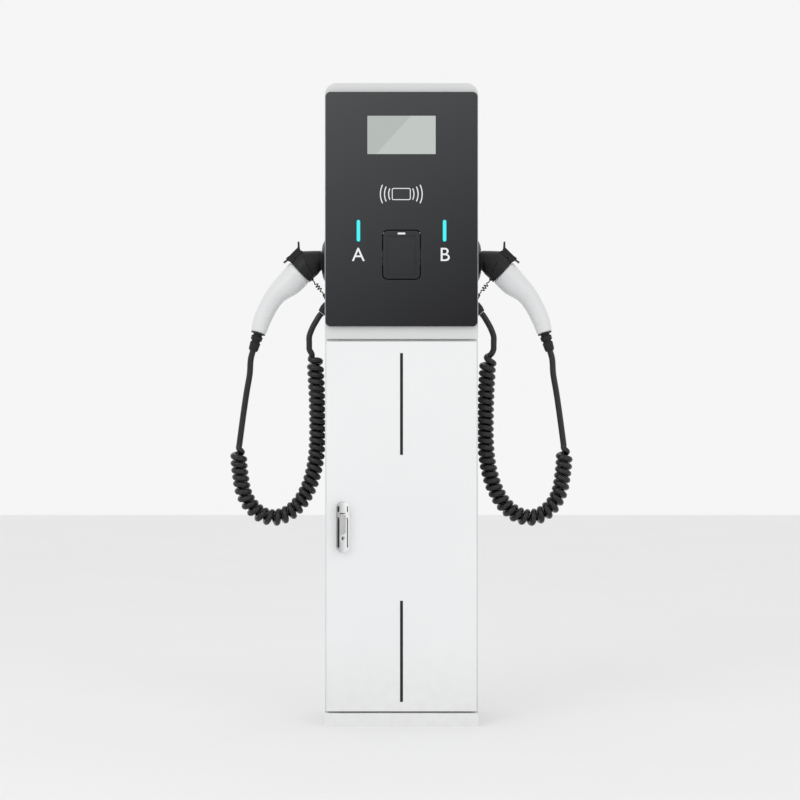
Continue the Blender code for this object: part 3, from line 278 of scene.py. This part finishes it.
# Dark print for the door stripes and the keyhole, also used as painted shade down the lock's sides.
dark_print_and_painted_shade = surface("dark print and painted shade", (0.018, 0.017, 0.019), (0.024, 0.023, 0.026), (0.45, 0.55),
                     grain=900, cloud=20, bump=0.05, shine=0.2)
polished = surface("polished ring", (0.90, 0.90, 0.91), (0.97, 0.97, 0.97), (0.06, 0.12),
                   grain=500, cloud=30, bump=0.02, metallic=1.0)
slots = {part["node"]: part["material_slot"] for part in frame["record"]["subparts"]}
for name, node in nodes.items():
    node.data.materials.clear()
    node.data.materials.append(finishes[slots[name]])
print("finishes:", len(bpy.data.materials))

# %% [markdown]
# The solid model's faces come in as loose triangles with hard edges. A copy with its points merged can
# be shaded smoothly, so the round parts of the post are shown by such copies, with the sharp edges kept.
# Weighted normals keep broad faces level, so that only the rounded edges catch the light.

# %% Smooth copies of the round parts
MERGE = 1e-6
SMOOTH_ANGLE = math.radians(38)
ROUND_NODES = ["head_shell", "front_panel", "flap_door", "lock_base", "lock_rotor", "lock_handle",
               "key_cylinder", "riser_grommet", "door_panel", "toggle_a", "toggle_b", "isolator_toggle"]
ROUND_SIDE_NODES = ["holster", "cable_gland", "tether_anchor", "connector_head", "strain_relief"]
bodies = frame["record"]["behaviour"]["bodies"]
body_of = {node: body for body, members in bodies.items() for node in members}


def settle(name, shape, finish, body, stands_for=()):
    """Turn a shape into a piece that rides on a body."""
    mesh = bpy.data.meshes.new(name)
    shape.to_mesh(mesh)
    shape.free()
    mesh.materials.append(finish)
    piece = bpy.data.objects.new(name, mesh)
    bpy.context.scene.collection.objects.link(piece)
    if stands_for:
        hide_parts(*stands_for)
    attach(piece, body)
    return piece


def smooth_copy(node):
    """A merged copy of a node, smooth but for its sharp edges."""
    shape = bmesh.new()
    shape.from_mesh(nodes[node].data)
    bmesh.ops.remove_doubles(shape, verts=shape.verts, dist=MERGE)
    for face in shape.faces:
        face.smooth = True
    for edge in shape.edges:
        edge.smooth = len(edge.link_faces) == 2 and edge.calc_face_angle() < SMOOTH_ANGLE
    piece = settle(f"{node}_smooth", shape, finishes[slots[node]], body_of[node], [node])
    level = piece.modifiers.new("level broad faces", "WEIGHTED_NORMAL")
    level.keep_sharp = True


ROUND_NODES += [f"{side}_{part}" for side in SIDES for part in ROUND_SIDE_NODES]
for node in ROUND_NODES:
    smooth_copy(node)
print("smooth copies:", len(ROUND_NODES))

# %% [markdown]
# The charging cable is wound into a spring so that it pulls itself clear of the ground. It leaves the
# head through a gland, hangs in a loop and climbs to the plug. One line gives its middle. Its points are
# measured out from the head's side wall and up from its underside, so one list serves both sides.

# %% Cable route
WALL_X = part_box("head_shell")[1].x
UNDERSIDE_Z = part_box("head_shell")[0].z
STEPS = 24                # points between two chosen ones
ROUTE = [
    (0.0114, 0.0623), (0.0160, 0.0568), (0.0225, 0.0465), (0.0345, 0.0240), (0.0397, 0.0082),
    (0.0397, -0.0060), (0.0397, -0.0202), (0.0325, -0.0345), (0.0275, -0.0490), (0.0245, -0.0833),
    (0.0218, -0.1333), (0.0208, -0.1833), (0.0210, -0.2293), (0.0232, -0.2633), (0.0300, -0.3033),
    (0.0430, -0.3433), (0.0670, -0.3813), (0.0950, -0.4023), (0.1230, -0.4087), (0.1520, -0.4003),
    (0.1740, -0.3815), (0.1900, -0.3533), (0.1983, -0.3126), (0.2022, -0.2683), (0.20085, -0.2402),
    (0.1990, -0.2261), (0.19715, -0.2120), (0.1955, -0.1996), (0.1902, -0.1608), (0.1839, -0.1184),
    (0.1768, -0.0762), (0.1736, -0.0380), (0.16975, -0.0249),
]


def beside(side, out, up):
    """A place beside the head, measured from its side wall and its underside."""
    return Vector((side * (WALL_X + out), 0.0, UNDERSIDE_Z + up))


def smooth_line(points):
    """A smooth line through chosen points."""
    knots = np.array(points)
    lengths = np.linalg.norm(np.diff(knots, axis=0), axis=1)
    slopes = np.diff(knots, axis=0) / lengths[:, None]
    blended = lengths[1:, None] * slopes[:-1] + lengths[:-1, None] * slopes[1:]
    tangents = np.vstack([slopes[:1], blended / (lengths[:-1] + lengths[1:])[:, None], slopes[-1:]])
    t = np.linspace(0.0, 1.0, STEPS, endpoint=False)[:, None]
    spans = zip(knots, knots[1:], tangents, tangents[1:], lengths)
    rows = [near * (2 * t**3 - 3 * t**2 + 1) + far * (3 * t**2 - 2 * t**3)
            + length * leaving * (t**3 - 2 * t**2 + t) + length * arriving * (t**3 - t**2)
            for near, far, leaving, arriving, length in spans]
    return np.vstack(rows + [knots[-1:]])


def travelled(line):
    """Distance along a line at each point."""
    return np.concatenate([[0.0], np.cumsum(np.linalg.norm(np.diff(line, axis=0), axis=1))])


def walk(line, distances):
    """Points at given distances along a line."""
    marks = travelled(line)
    return np.column_stack([np.interp(distances, marks, line[:, k]) for k in range(3)])


print("cable route:", len(ROUTE), "points")

# %% [markdown]
# A helix winds round a line. Round the inside of a bend the turns would crowd, so their spacing is
# measured there. The first and last turn grow out of the straight cable and are drawn apart a little.
# A curve with a round bevel then gives the cord its thickness.

# %% Curls and cords
POINTS_PER_TURN = 16
END_STRETCH = 1.3         # how much further apart the outermost turns start


def helix(line, start, end, radius, count, diameter):
    """Turns round a line, with straight ends."""
    turns = np.linspace(0.0, count, count * POINTS_PER_TURN + 1)
    near_end = np.clip(np.minimum(turns, count - turns), 0.0, 1.0)
    pace = 1.0 + END_STRETCH * (1.0 - near_end)
    advance = np.concatenate([[0.0], np.cumsum((pace[1:] + pace[:-1]) / 2)])
    steps = np.diff(line, axis=0)
    heading = np.unwrap(np.arctan2(steps[:, 2], steps[:, 0]))
    bent = np.concatenate([[0.0, 0.0], np.cumsum(np.abs(np.diff(heading)))])
    marks = travelled(line)
    inside = marks - radius * bent
    first, last = np.interp([start + diameter, end - diameter], marks, inside)
    places = np.interp(first + (last - first) * advance / advance[-1], inside, marks)
    ahead = walk(line, places + diameter / 4) - walk(line, places - diameter / 4)
    ahead /= np.linalg.norm(ahead, axis=1)[:, None]
    depthwise = np.array([0.0, 1.0, 0.0])
    reach = (radius * near_end * near_end * (3 - 2 * near_end))[:, None]
    angle = (2 * np.pi * turns)[:, None]
    swing = np.cos(angle) * np.cross(ahead, depthwise) + np.sin(angle) * depthwise
    return np.vstack([walk(line, [start]), walk(line, places) + reach * swing, walk(line, [end])])


def shape_of(curve, merge=MERGE):
    """The mesh of a curve or text, with its doubled points merged."""
    drawn = bpy.data.objects.new(curve.name, curve)
    bpy.context.scene.collection.objects.link(drawn)
    ready = drawn.evaluated_get(bpy.context.evaluated_depsgraph_get())
    mesh = bpy.data.meshes.new_from_object(ready)
    bpy.data.objects.remove(drawn)
    shape = bmesh.new()
    shape.from_mesh(mesh)
    bpy.data.meshes.remove(mesh)
    bmesh.ops.remove_doubles(shape, verts=shape.verts, dist=merge)
    return shape


def tube(name, points, diameter, rounds):
    """A closed round cord along a row of points, as a mesh."""
    curve = bpy.data.curves.new(name, "CURVE")
    curve.dimensions = "3D"
    curve.fill_mode = "FULL"
    curve.bevel_depth = diameter / 2
    curve.bevel_resolution = rounds
    curve.use_fill_caps = True
    spline = curve.splines.new("POLY")
    spline.points.add(len(points) - 1)
    for spot, point in zip(spline.points, points):
        spot.co = (*point, 1.0)
    shape = shape_of(curve)
    bmesh.ops.recalc_face_normals(shape, faces=shape.faces)
    for face in shape.faces:
        face.smooth = len(face.verts) == 4
    mesh = bpy.data.meshes.new(name)
    shape.to_mesh(mesh)
    shape.free()
    mesh.materials.append(finishes["cable_black"])
    made = bpy.data.objects.new(name, mesh)
    bpy.context.scene.collection.objects.link(made)
    return made


print("curls have", POINTS_PER_TURN, "points to a turn")

# %% [markdown]
# Each cable hangs from the gland near the post and ends at the plug. It runs on inside the grip, up to the
# elbow.

# %% Charging cables
CABLE_DIA = 0.0142
CABLE_ROUNDS = 3
COIL_R = 0.0128
COIL_CURLS = 38
GAP = 0.0003              # half a joint between two stretches of cable in the solid model
TAIL_KNOT, TAIL_POINTS = 5, 22      # the route's point where the coil begins
LEAD_KNOT, LEAD_POINTS = 25, 26     # the route's point where the coil ends
INSIDE_GRIP = [(0.1640, -0.0057), (0.1568, 0.0183), (0.1512, 0.0397), (0.1429, 0.0605), (0.1325, 0.0800),
               (0.1216, 0.0981), (0.1072, 0.1123), (0.0906, 0.1256), (0.0760, 0.1415), (0.0614, 0.1574)]
cables = {}
for name, side in SIDES.items():
    line = smooth_line([beside(side, out, up) for out, up in ROUTE])
    knots = travelled(line)[::STEPS]
    tail = walk(line, np.linspace(0.0, knots[TAIL_KNOT] - GAP, TAIL_POINTS))
    coil = helix(line, knots[TAIL_KNOT] + GAP, knots[LEAD_KNOT] - GAP, COIL_R, COIL_CURLS, CABLE_DIA)
    lead = walk(line, np.linspace(knots[LEAD_KNOT] + GAP, knots[-1], LEAD_POINTS))
    path = np.vstack([tail, coil[1:-1], lead, [beside(side, *spot) for spot in INSIDE_GRIP]])
    cable = tube(f"{name}_cable", path, CABLE_DIA, CABLE_ROUNDS)
    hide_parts(f"{name}_cable_tail", f"{name}_cable_coil", f"{name}_cable_lead")
    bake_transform(cable)
    cables[name] = cable, path
    print(name, "cable", round(travelled(path)[-1], 3), "m")

# %% [markdown]
# A thin curly tether is stretched between a peg on the post and the plug.

# %% Tethers
TETHER_DIA = 0.0026
TETHER_ROUNDS = 2
TETHER_R = 0.0042
TETHER_CURLS = 4
TETHER_TOP = (0.0312, 0.1385)
TETHER_FOOT = (0.0066, 0.1066)
for name, side in SIDES.items():
    pull = np.array([beside(side, *TETHER_TOP), beside(side, *TETHER_FOOT)])
    reach = travelled(pull)[-1]
    thin = helix(pull, GAP, reach - GAP, TETHER_R, TETHER_CURLS, TETHER_DIA)[::-1]
    cord = tube(f"{name}_tether_cord", thin, TETHER_DIA, TETHER_ROUNDS)
    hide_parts(f"{name}_tether")
    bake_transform(cord)
    print(name, "tether", round(travelled(thin)[-1], 3), "m")

# %% [markdown]
# The grip of a plug is one smooth moulding that bends from the angled nose down to the cable. A row of
# round sections, bridged ring by ring, makes it, and a subdivision surface rounds it off. At each end two
# sections lie close together, which keeps the subdivision from shrinking the end.

# %% Plug grips
RING_SIDES = 32
# Rows of: out, up, direction out, direction up, half height, half depth
GRIP = [
    (0.0616, 0.1572, 0.723, -0.691, 0.0310, 0.0292), (0.0622, 0.1566, 0.723, -0.691, 0.0312, 0.0294),
    (0.0760, 0.1415, 0.660, -0.751, 0.0312, 0.0285), (0.0906, 0.1256, 0.598, -0.801, 0.0305, 0.0275),
    (0.1072, 0.1123, 0.498, -0.867, 0.0266, 0.0245), (0.1216, 0.0981, 0.388, -0.921, 0.0231, 0.0215),
    (0.1325, 0.0800, 0.292, -0.956, 0.0217, 0.0195), (0.1429, 0.0605, 0.260, -0.966, 0.0214, 0.0190),
    (0.1512, 0.0397, 0.270, -0.963, 0.0200, 0.0180), (0.1565, 0.0193, 0.287, -0.958, 0.0178, 0.0166),
    (0.1568, 0.0183, 0.287, -0.958, 0.0174, 0.0162),
]


def ring_of(shape, side, row):
    """One oval section of a moulding beside the head."""
    out, up, ahead_out, ahead_up, half_height, half_depth = row
    ahead = Vector((side * ahead_out, 0.0, ahead_up)).normalized()
    depthwise = Vector((0.0, 1.0, 0.0))
    turn = Matrix((ahead.cross(depthwise), depthwise, ahead)).transposed().to_4x4()
    size = Matrix.Diagonal((half_height, half_depth, 1.0, 1.0))
    stand = Matrix.Translation(beside(side, out, up)) @ turn @ size
    made = bmesh.ops.create_circle(shape, segments=RING_SIDES, radius=1.0, matrix=stand)["verts"]
    return [edge for edge in shape.edges if edge.verts[0] in made and edge.verts[1] in made]


def moulding(side, rows):
    """A closed skin over a row of oval sections."""
    shape = bmesh.new()
    rings = [ring_of(shape, side, row) for row in rows]
    for near, far in zip(rings, rings[1:]):
        bmesh.ops.bridge_loops(shape, edges=near + far)
    for ring in (rings[0], rings[-1]):
        bmesh.ops.edgenet_fill(shape, edges=ring)
    bmesh.ops.recalc_face_normals(shape, faces=shape.faces)
    for face in shape.faces:
        face.smooth = len(face.verts) == 4
    return shape


for name, side in SIDES.items():
    grip = settle(f"{name}_grip", moulding(side, GRIP), finishes["white_plastic"], f"{name}_plug",
                  [f"{name}_connector_handle"])
    round_off = grip.modifiers.new("round off", "SUBSURF")
    round_off.levels = round_off.render_levels = 1
print("grips made of", len(GRIP), "sections")

# %% [markdown]
# Marks on the fascia and the door are print, so they are sheets a fraction of a millimetre thick. Each
# starts as a flat face standing upright, gets its corners rounded and is then given its thickness. An
# outline is such a face with its middle inset and taken out.

# %% Printed marks
PRINT_T = 0.0002
PRINT_GAP = 0.00005
STRIPE_W = 0.0066
STRIPE_CORNER = 0.0005
STRIPES = {"upper": (0.612, 0.8415), "lower": (0.0555, 0.2835)}


def upright(shape, width, height, centre, corner, tilt=0.0):
    """A round-cornered flat face that looks to the front."""
    turn = Matrix.Rotation(math.radians(tilt), 4, "Y") @ Matrix.Rotation(math.radians(90), 4, "X")
    size = Matrix.Diagonal((width / 2, height / 2, 1.0, 1.0))
    made = bmesh.ops.create_grid(shape, x_segments=1, y_segments=1, size=1.0,
                                 matrix=Matrix.Translation(centre) @ turn @ size)["verts"]
    bmesh.ops.bevel(shape, geom=made, offset=corner, offset_type="OFFSET", segments=4, profile=0.5,
                    affect="VERTICES", material=-1)
    return shape.faces[:][-1]


def outline(shape, face, width):
    """Keep only a line along the edge of a flat face."""
    bmesh.ops.inset_region(shape, faces=[face], thickness=width, use_boundary=True, use_even_offset=True)
    bmesh.ops.delete(shape, geom=[face], context="FACES")


def thicken(shape, depth=PRINT_T):
    """Give a flat shape its thickness, towards the front."""
    bmesh.ops.recalc_face_normals(shape, faces=shape.faces)
    grown = bmesh.ops.extrude_face_region(shape, geom=shape.faces[:])["geom"]
    moved = [item for item in grown if isinstance(item, bmesh.types.BMVert)]
    bmesh.ops.translate(shape, verts=moved, vec=(0.0, -depth, 0.0))
    bmesh.ops.recalc_face_normals(shape, faces=shape.faces)
    return shape


door_print_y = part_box("door_panel")[0].y - PRINT_GAP
for label, (low, high) in STRIPES.items():
    shape = bmesh.new()
    upright(shape, STRIPE_W, high - low, Vector((0.0, door_print_y, (low + high) / 2)), STRIPE_CORNER)
    settle(f"door_stripe_{label}", thicken(shape), dark_print_and_painted_shade, "door")
print("door stripes:", list(STRIPES))

# %% [markdown]
# Each outlet has a plain letter below its light bar. A text object gives the outline, which is turned
# into a mesh, stood upright and thickened like the other marks.

# %% Outlet letters
LETTER_SIZE = 0.0435
LETTER_X = 0.0972
LETTER_Z = 1.0485
LETTER_MERGE = 1e-7
fascia_print_y = fascia_front - PRINT_GAP
for letter, x in (("A", -LETTER_X), ("B", LETTER_X)):
    words = bpy.data.curves.new(f"outlet_{letter}", "FONT")
    words.body = letter
    words.size = LETTER_SIZE
    words.align_x = "CENTER"
    shape = shape_of(words, LETTER_MERGE)
    stand = Matrix.Translation((x, fascia_print_y, LETTER_Z)) @ Matrix.Rotation(math.radians(90), 4, "X")
    bmesh.ops.transform(shape, matrix=stand, verts=shape.verts)
    settle(f"outlet_letter_{letter.lower()}", thicken(shape), white_print, "post")
print("outlet letters at", LETTER_Z)

# %% [markdown]
# The card reader is marked with the outline of a card between two sets of waves. A wave is a short edge
# spun about the middle of the mark.

# %% Card reader mark
READER = Vector((-0.0005, fascia_print_y, 1.1992))
CARD_W, CARD_H = 0.0425, 0.0270
CARD_CORNER = 0.004
CARD_LINE = 0.0018
WAVE_RADII = (0.0285, 0.0378, 0.0470)
WAVE_W = 0.0023
WAVE_SPREAD = math.radians(26)
WAVE_STEPS = 14
shape = bmesh.new()
outline(shape, upright(shape, CARD_W, CARD_H, READER, CARD_CORNER), CARD_LINE)
for radius in WAVE_RADII:
    for toward in (-1, 1):
        first = Vector((toward * math.cos(WAVE_SPREAD), 0.0, -math.sin(WAVE_SPREAD)))
        ends = [shape.verts.new(READER + first * reach)
                for reach in (radius - WAVE_W / 2, radius + WAVE_W / 2)]
        edge = shape.edges.new(ends)
        bmesh.ops.spin(shape, geom=ends + [edge], cent=READER, axis=(0.0, -1.0, 0.0),
                       angle=toward * 2 * WAVE_SPREAD, steps=WAVE_STEPS, use_merge=False,
                       use_duplicate=False)
settle("card_reader_mark", thicken(shape), white_print, "post")
print("card reader mark at", [round(value, 4) for value in READER])

# %% [markdown]
# The two light bars are diffusers with round ends. A tall face whose corners are rounded by almost half
# its width gives that outline, and it is made as deep as the bar in the solid model.

# %% Light bars
END_ROUNDING = 0.48       # share of a bar's width
for mark in ("a", "b"):
    low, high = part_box(f"led_bar_{mark}")
    size = high - low
    back = Vector(((low.x + high.x) / 2, high.y, (low.z + high.z) / 2))
    shape = bmesh.new()
    upright(shape, size.x, size.z, back, size.x * END_ROUNDING)
    settle(f"light_bar_{mark}", thicken(shape, size.y), finishes["led_light"], "post",
           [f"led_bar_{mark}"])
print("light bars made")

# %% [markdown]
# The small cover has a white dash near its top, and a fine line runs round inside its edge. Both are on
# the body of the cover, so they swing with it.

# %% Cover marks
COVER_LINE_W, COVER_LINE_H = 0.0650, 0.0870
COVER_LINE_Z = 1.0610
COVER_LINE_CORNER = 0.002
COVER_LINE = 0.0006
DASH_W, DASH_H = 0.0170, 0.0042
DASH_Z = 1.1105
DASH_CORNER = 0.0008
cover_print_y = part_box("flap_door")[0].y - PRINT_GAP
shape = bmesh.new()
field = upright(shape, COVER_LINE_W, COVER_LINE_H, Vector((0.0, cover_print_y, COVER_LINE_Z)),
                COVER_LINE_CORNER)
outline(shape, field, COVER_LINE)
settle("flap_line", thicken(shape), finishes["black_plastic"], "flap")
shape = bmesh.new()
upright(shape, DASH_W, DASH_H, Vector((0.0, cover_print_y, DASH_Z)), DASH_CORNER)
settle("flap_dash", thicken(shape), white_print, "flap")
print("cover marks at", COVER_LINE_Z, "and", DASH_Z)

# %% [markdown]
# The lock has a raised thumb strip, a bright ring round its key and dark bands of painted shade along its
# sides. Each sits on the part of the lock that it moves with, so a shade band is in two lengths, on the
# lever and the cap.

# %% Lock details
STRIP_W, STRIP_H = 0.0140, 0.0440
STRIP_Z = 0.4560
STRIP_CORNER = 0.0060
STRIP_PROUD = 0.0012
STRIP_EDGE = 0.0009
KEY_RING_R = 0.0066
KEY_RING_W = 0.0016
KEY_RING_PROUD = 0.0006
KEYHOLE_W, KEYHOLE_H = 0.0030, 0.0066
KEYHOLE_CORNER = 0.0011
LOCK_SHADE_BANDS = {"left": (-0.0096, 0.0046), "right": (0.0106, 0.0022)}
SHADE_BAND_ROUNDING = 0.45    # share of a shade band's width
handle_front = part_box("lock_handle")[0].y
rotor_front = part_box("lock_rotor")[0].y
key_low, key_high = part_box("key_cylinder")
lock_x = (key_low.x + key_high.x) / 2
key_z = (key_low.z + key_high.z) / 2
shade_band_runs = {"lever": ("lock_lever", handle_front, 0.4040, 0.4690),
               "cap": ("lock_cap", rotor_front, 0.4840, 0.4975)}
shape = bmesh.new()
upright(shape, STRIP_W, STRIP_H, Vector((lock_x, handle_front, STRIP_Z)), STRIP_CORNER)
thicken(shape, STRIP_PROUD)
rim = [edge for edge in shape.edges
       if all(vert.co.y < handle_front - STRIP_PROUD / 2 for vert in edge.verts)]
bmesh.ops.bevel(shape, geom=rim, offset=STRIP_EDGE, offset_type="OFFSET", segments=3, profile=0.5,
                affect="EDGES", material=-1)
settle("lock_thumb_strip", shape, finishes["steel"], "lock_lever")
shape = bmesh.new()
stand = Matrix.Translation((lock_x, handle_front, key_z)) @ Matrix.Rotation(math.radians(90), 4, "X")
bmesh.ops.create_circle(shape, cap_ends=True, segments=RING_SIDES, radius=KEY_RING_R, matrix=stand)
outline(shape, shape.faces[:][0], KEY_RING_W)
settle("key_ring", thicken(shape, KEY_RING_PROUD), polished, "lock_lever")
shape = bmesh.new()
upright(shape, KEYHOLE_W, KEYHOLE_H, Vector((lock_x, key_low.y, key_z)), KEYHOLE_CORNER)
settle("keyhole", thicken(shape), dark_print_and_painted_shade, "key")
# Painted shade: thin dark sheets down the lock's sides stand for the shade beside the lever.
for label, (x, width) in LOCK_SHADE_BANDS.items():
    for part, (body, front, low, high) in shade_band_runs.items():
        shape = bmesh.new()
        upright(shape, width, high - low, Vector((lock_x + x, front, (low + high) / 2)),
                width * SHADE_BAND_ROUNDING)
        settle(f"lock_painted_shade_{part}_{label}", thicken(shape), dark_print_and_painted_shade, body)
print("lock details at", round(lock_x, 4), round(key_z, 4))

# %% [markdown]
# The plug's black elbow is thicker where it takes the grip, and low guards stand beside its thumb lever.
# The collar is bridged from oval rings like the grip. Its middle sits a little lower than the elbow's,
# which leaves room for the lever to swing.

# %% Plug collars and guards
# Rows as for the grip
COLLAR = [
    (0.0436, 0.1736, 0.900, -0.430, 0.0330, 0.0290), (0.0444, 0.1728, 0.890, -0.450, 0.0338, 0.0306),
    (0.0520, 0.1659, 0.822, -0.569, 0.0331, 0.0308), (0.0602, 0.1577, 0.733, -0.680, 0.0320, 0.0307),
    (0.0608, 0.1571, 0.723, -0.691, 0.0316, 0.0298),
]
GUARD_W, GUARD_H = 0.0240, 0.0070
GUARD_T = 0.003
GUARD_CORNER = 0.0015
GUARD_AT = (0.0640, 0.1972)
GUARD_TILT = 35.5
GUARDS = {"front": -0.0115, "back": 0.0145}
for name, side in SIDES.items():
    shape = moulding(side, COLLAR)
    for edge in shape.edges:
        edge.smooth = edge.calc_face_angle() < SMOOTH_ANGLE
    settle(f"{name}_plug_collar", shape, finishes["black_plastic"], f"{name}_plug")
    for label, y in GUARDS.items():
        shape = bmesh.new()
        upright(shape, GUARD_W, GUARD_H, beside(side, *GUARD_AT) + Vector((0.0, y, 0.0)), GUARD_CORNER,
                side * GUARD_TILT)
        settle(f"{name}_lever_guard_{label}", thicken(shape, GUARD_T), finishes["black_plastic"],
               f"{name}_plug")
print("collars and lever guards made")

# %% [markdown]
# Now that every piece of a plug exists, the pieces that sit on each cable's far end are gathered and
# printed.

# %% Pieces on each cable's end
ON_THE_END = ["connector_head_smooth", "strain_relief_smooth", "grip", "plug_collar", "lever_guard_front",
              "lever_guard_back"]
for name, (cable, path) in cables.items():
    plug_pieces = [bpy.data.objects[f"{name}_{part}"] for part in ON_THE_END]
    plug_pieces.append(nodes[f"{name}_latch_lever"])
    print(name, "cable carries", [piece.name for piece in plug_pieces])

# %% [markdown]
# The stage is a plain pale floor with a soft studio light: a large lamp high at the left, a weaker one at
# the right and an even sky.

# %% Floor and light
FLOOR_HALF = 8.0
LAMP_SIZE = 2.4
SKY_STRENGTH = 0.92
shape = bmesh.new()
bmesh.ops.create_grid(shape, x_segments=1, y_segments=1, size=FLOOR_HALF)
floor_mesh = bpy.data.meshes.new("floor")
shape.to_mesh(floor_mesh)
shape.free()
floor_mesh.materials.append(surface("pale floor", (0.84, 0.84, 0.84), (0.87, 0.87, 0.87), (0.7, 0.8),
                                    grain=60, cloud=2, bump=0.02))
floor = bpy.data.objects.new("floor", floor_mesh)
bpy.context.scene.collection.objects.link(floor)


def lamp(name, place, aim, power):
    """A square soft lamp pointed at a place."""
    light = bpy.data.lights.new(name, "AREA")
    light.size = LAMP_SIZE
    light.energy = power
    made = bpy.data.objects.new(name, light)
    bpy.context.scene.collection.objects.link(made)
    made.location = place
    made.rotation_euler = (Vector(aim) - Vector(place)).to_track_quat("-Z", "Y").to_euler()


lamp("left lamp", place=(-2.2, -3.2, 2.8), aim=(0.0, 0.0, 0.8), power=26)
lamp("right lamp", place=(2.4, -3.0, 2.0), aim=(0.0, 0.0, 0.7), power=10)
sky = bpy.data.worlds.new("studio sky")
bpy.context.scene.world = sky
sky.use_nodes = True
background = sky.node_tree.nodes["Background"]
background.inputs["Color"].default_value = (1.0, 1.0, 1.0, 1.0)
background.inputs["Strength"].default_value = SKY_STRENGTH
bpy.context.scene.view_settings.view_transform = "Standard"
print("stage lit by", [light.name for light in bpy.data.lights])
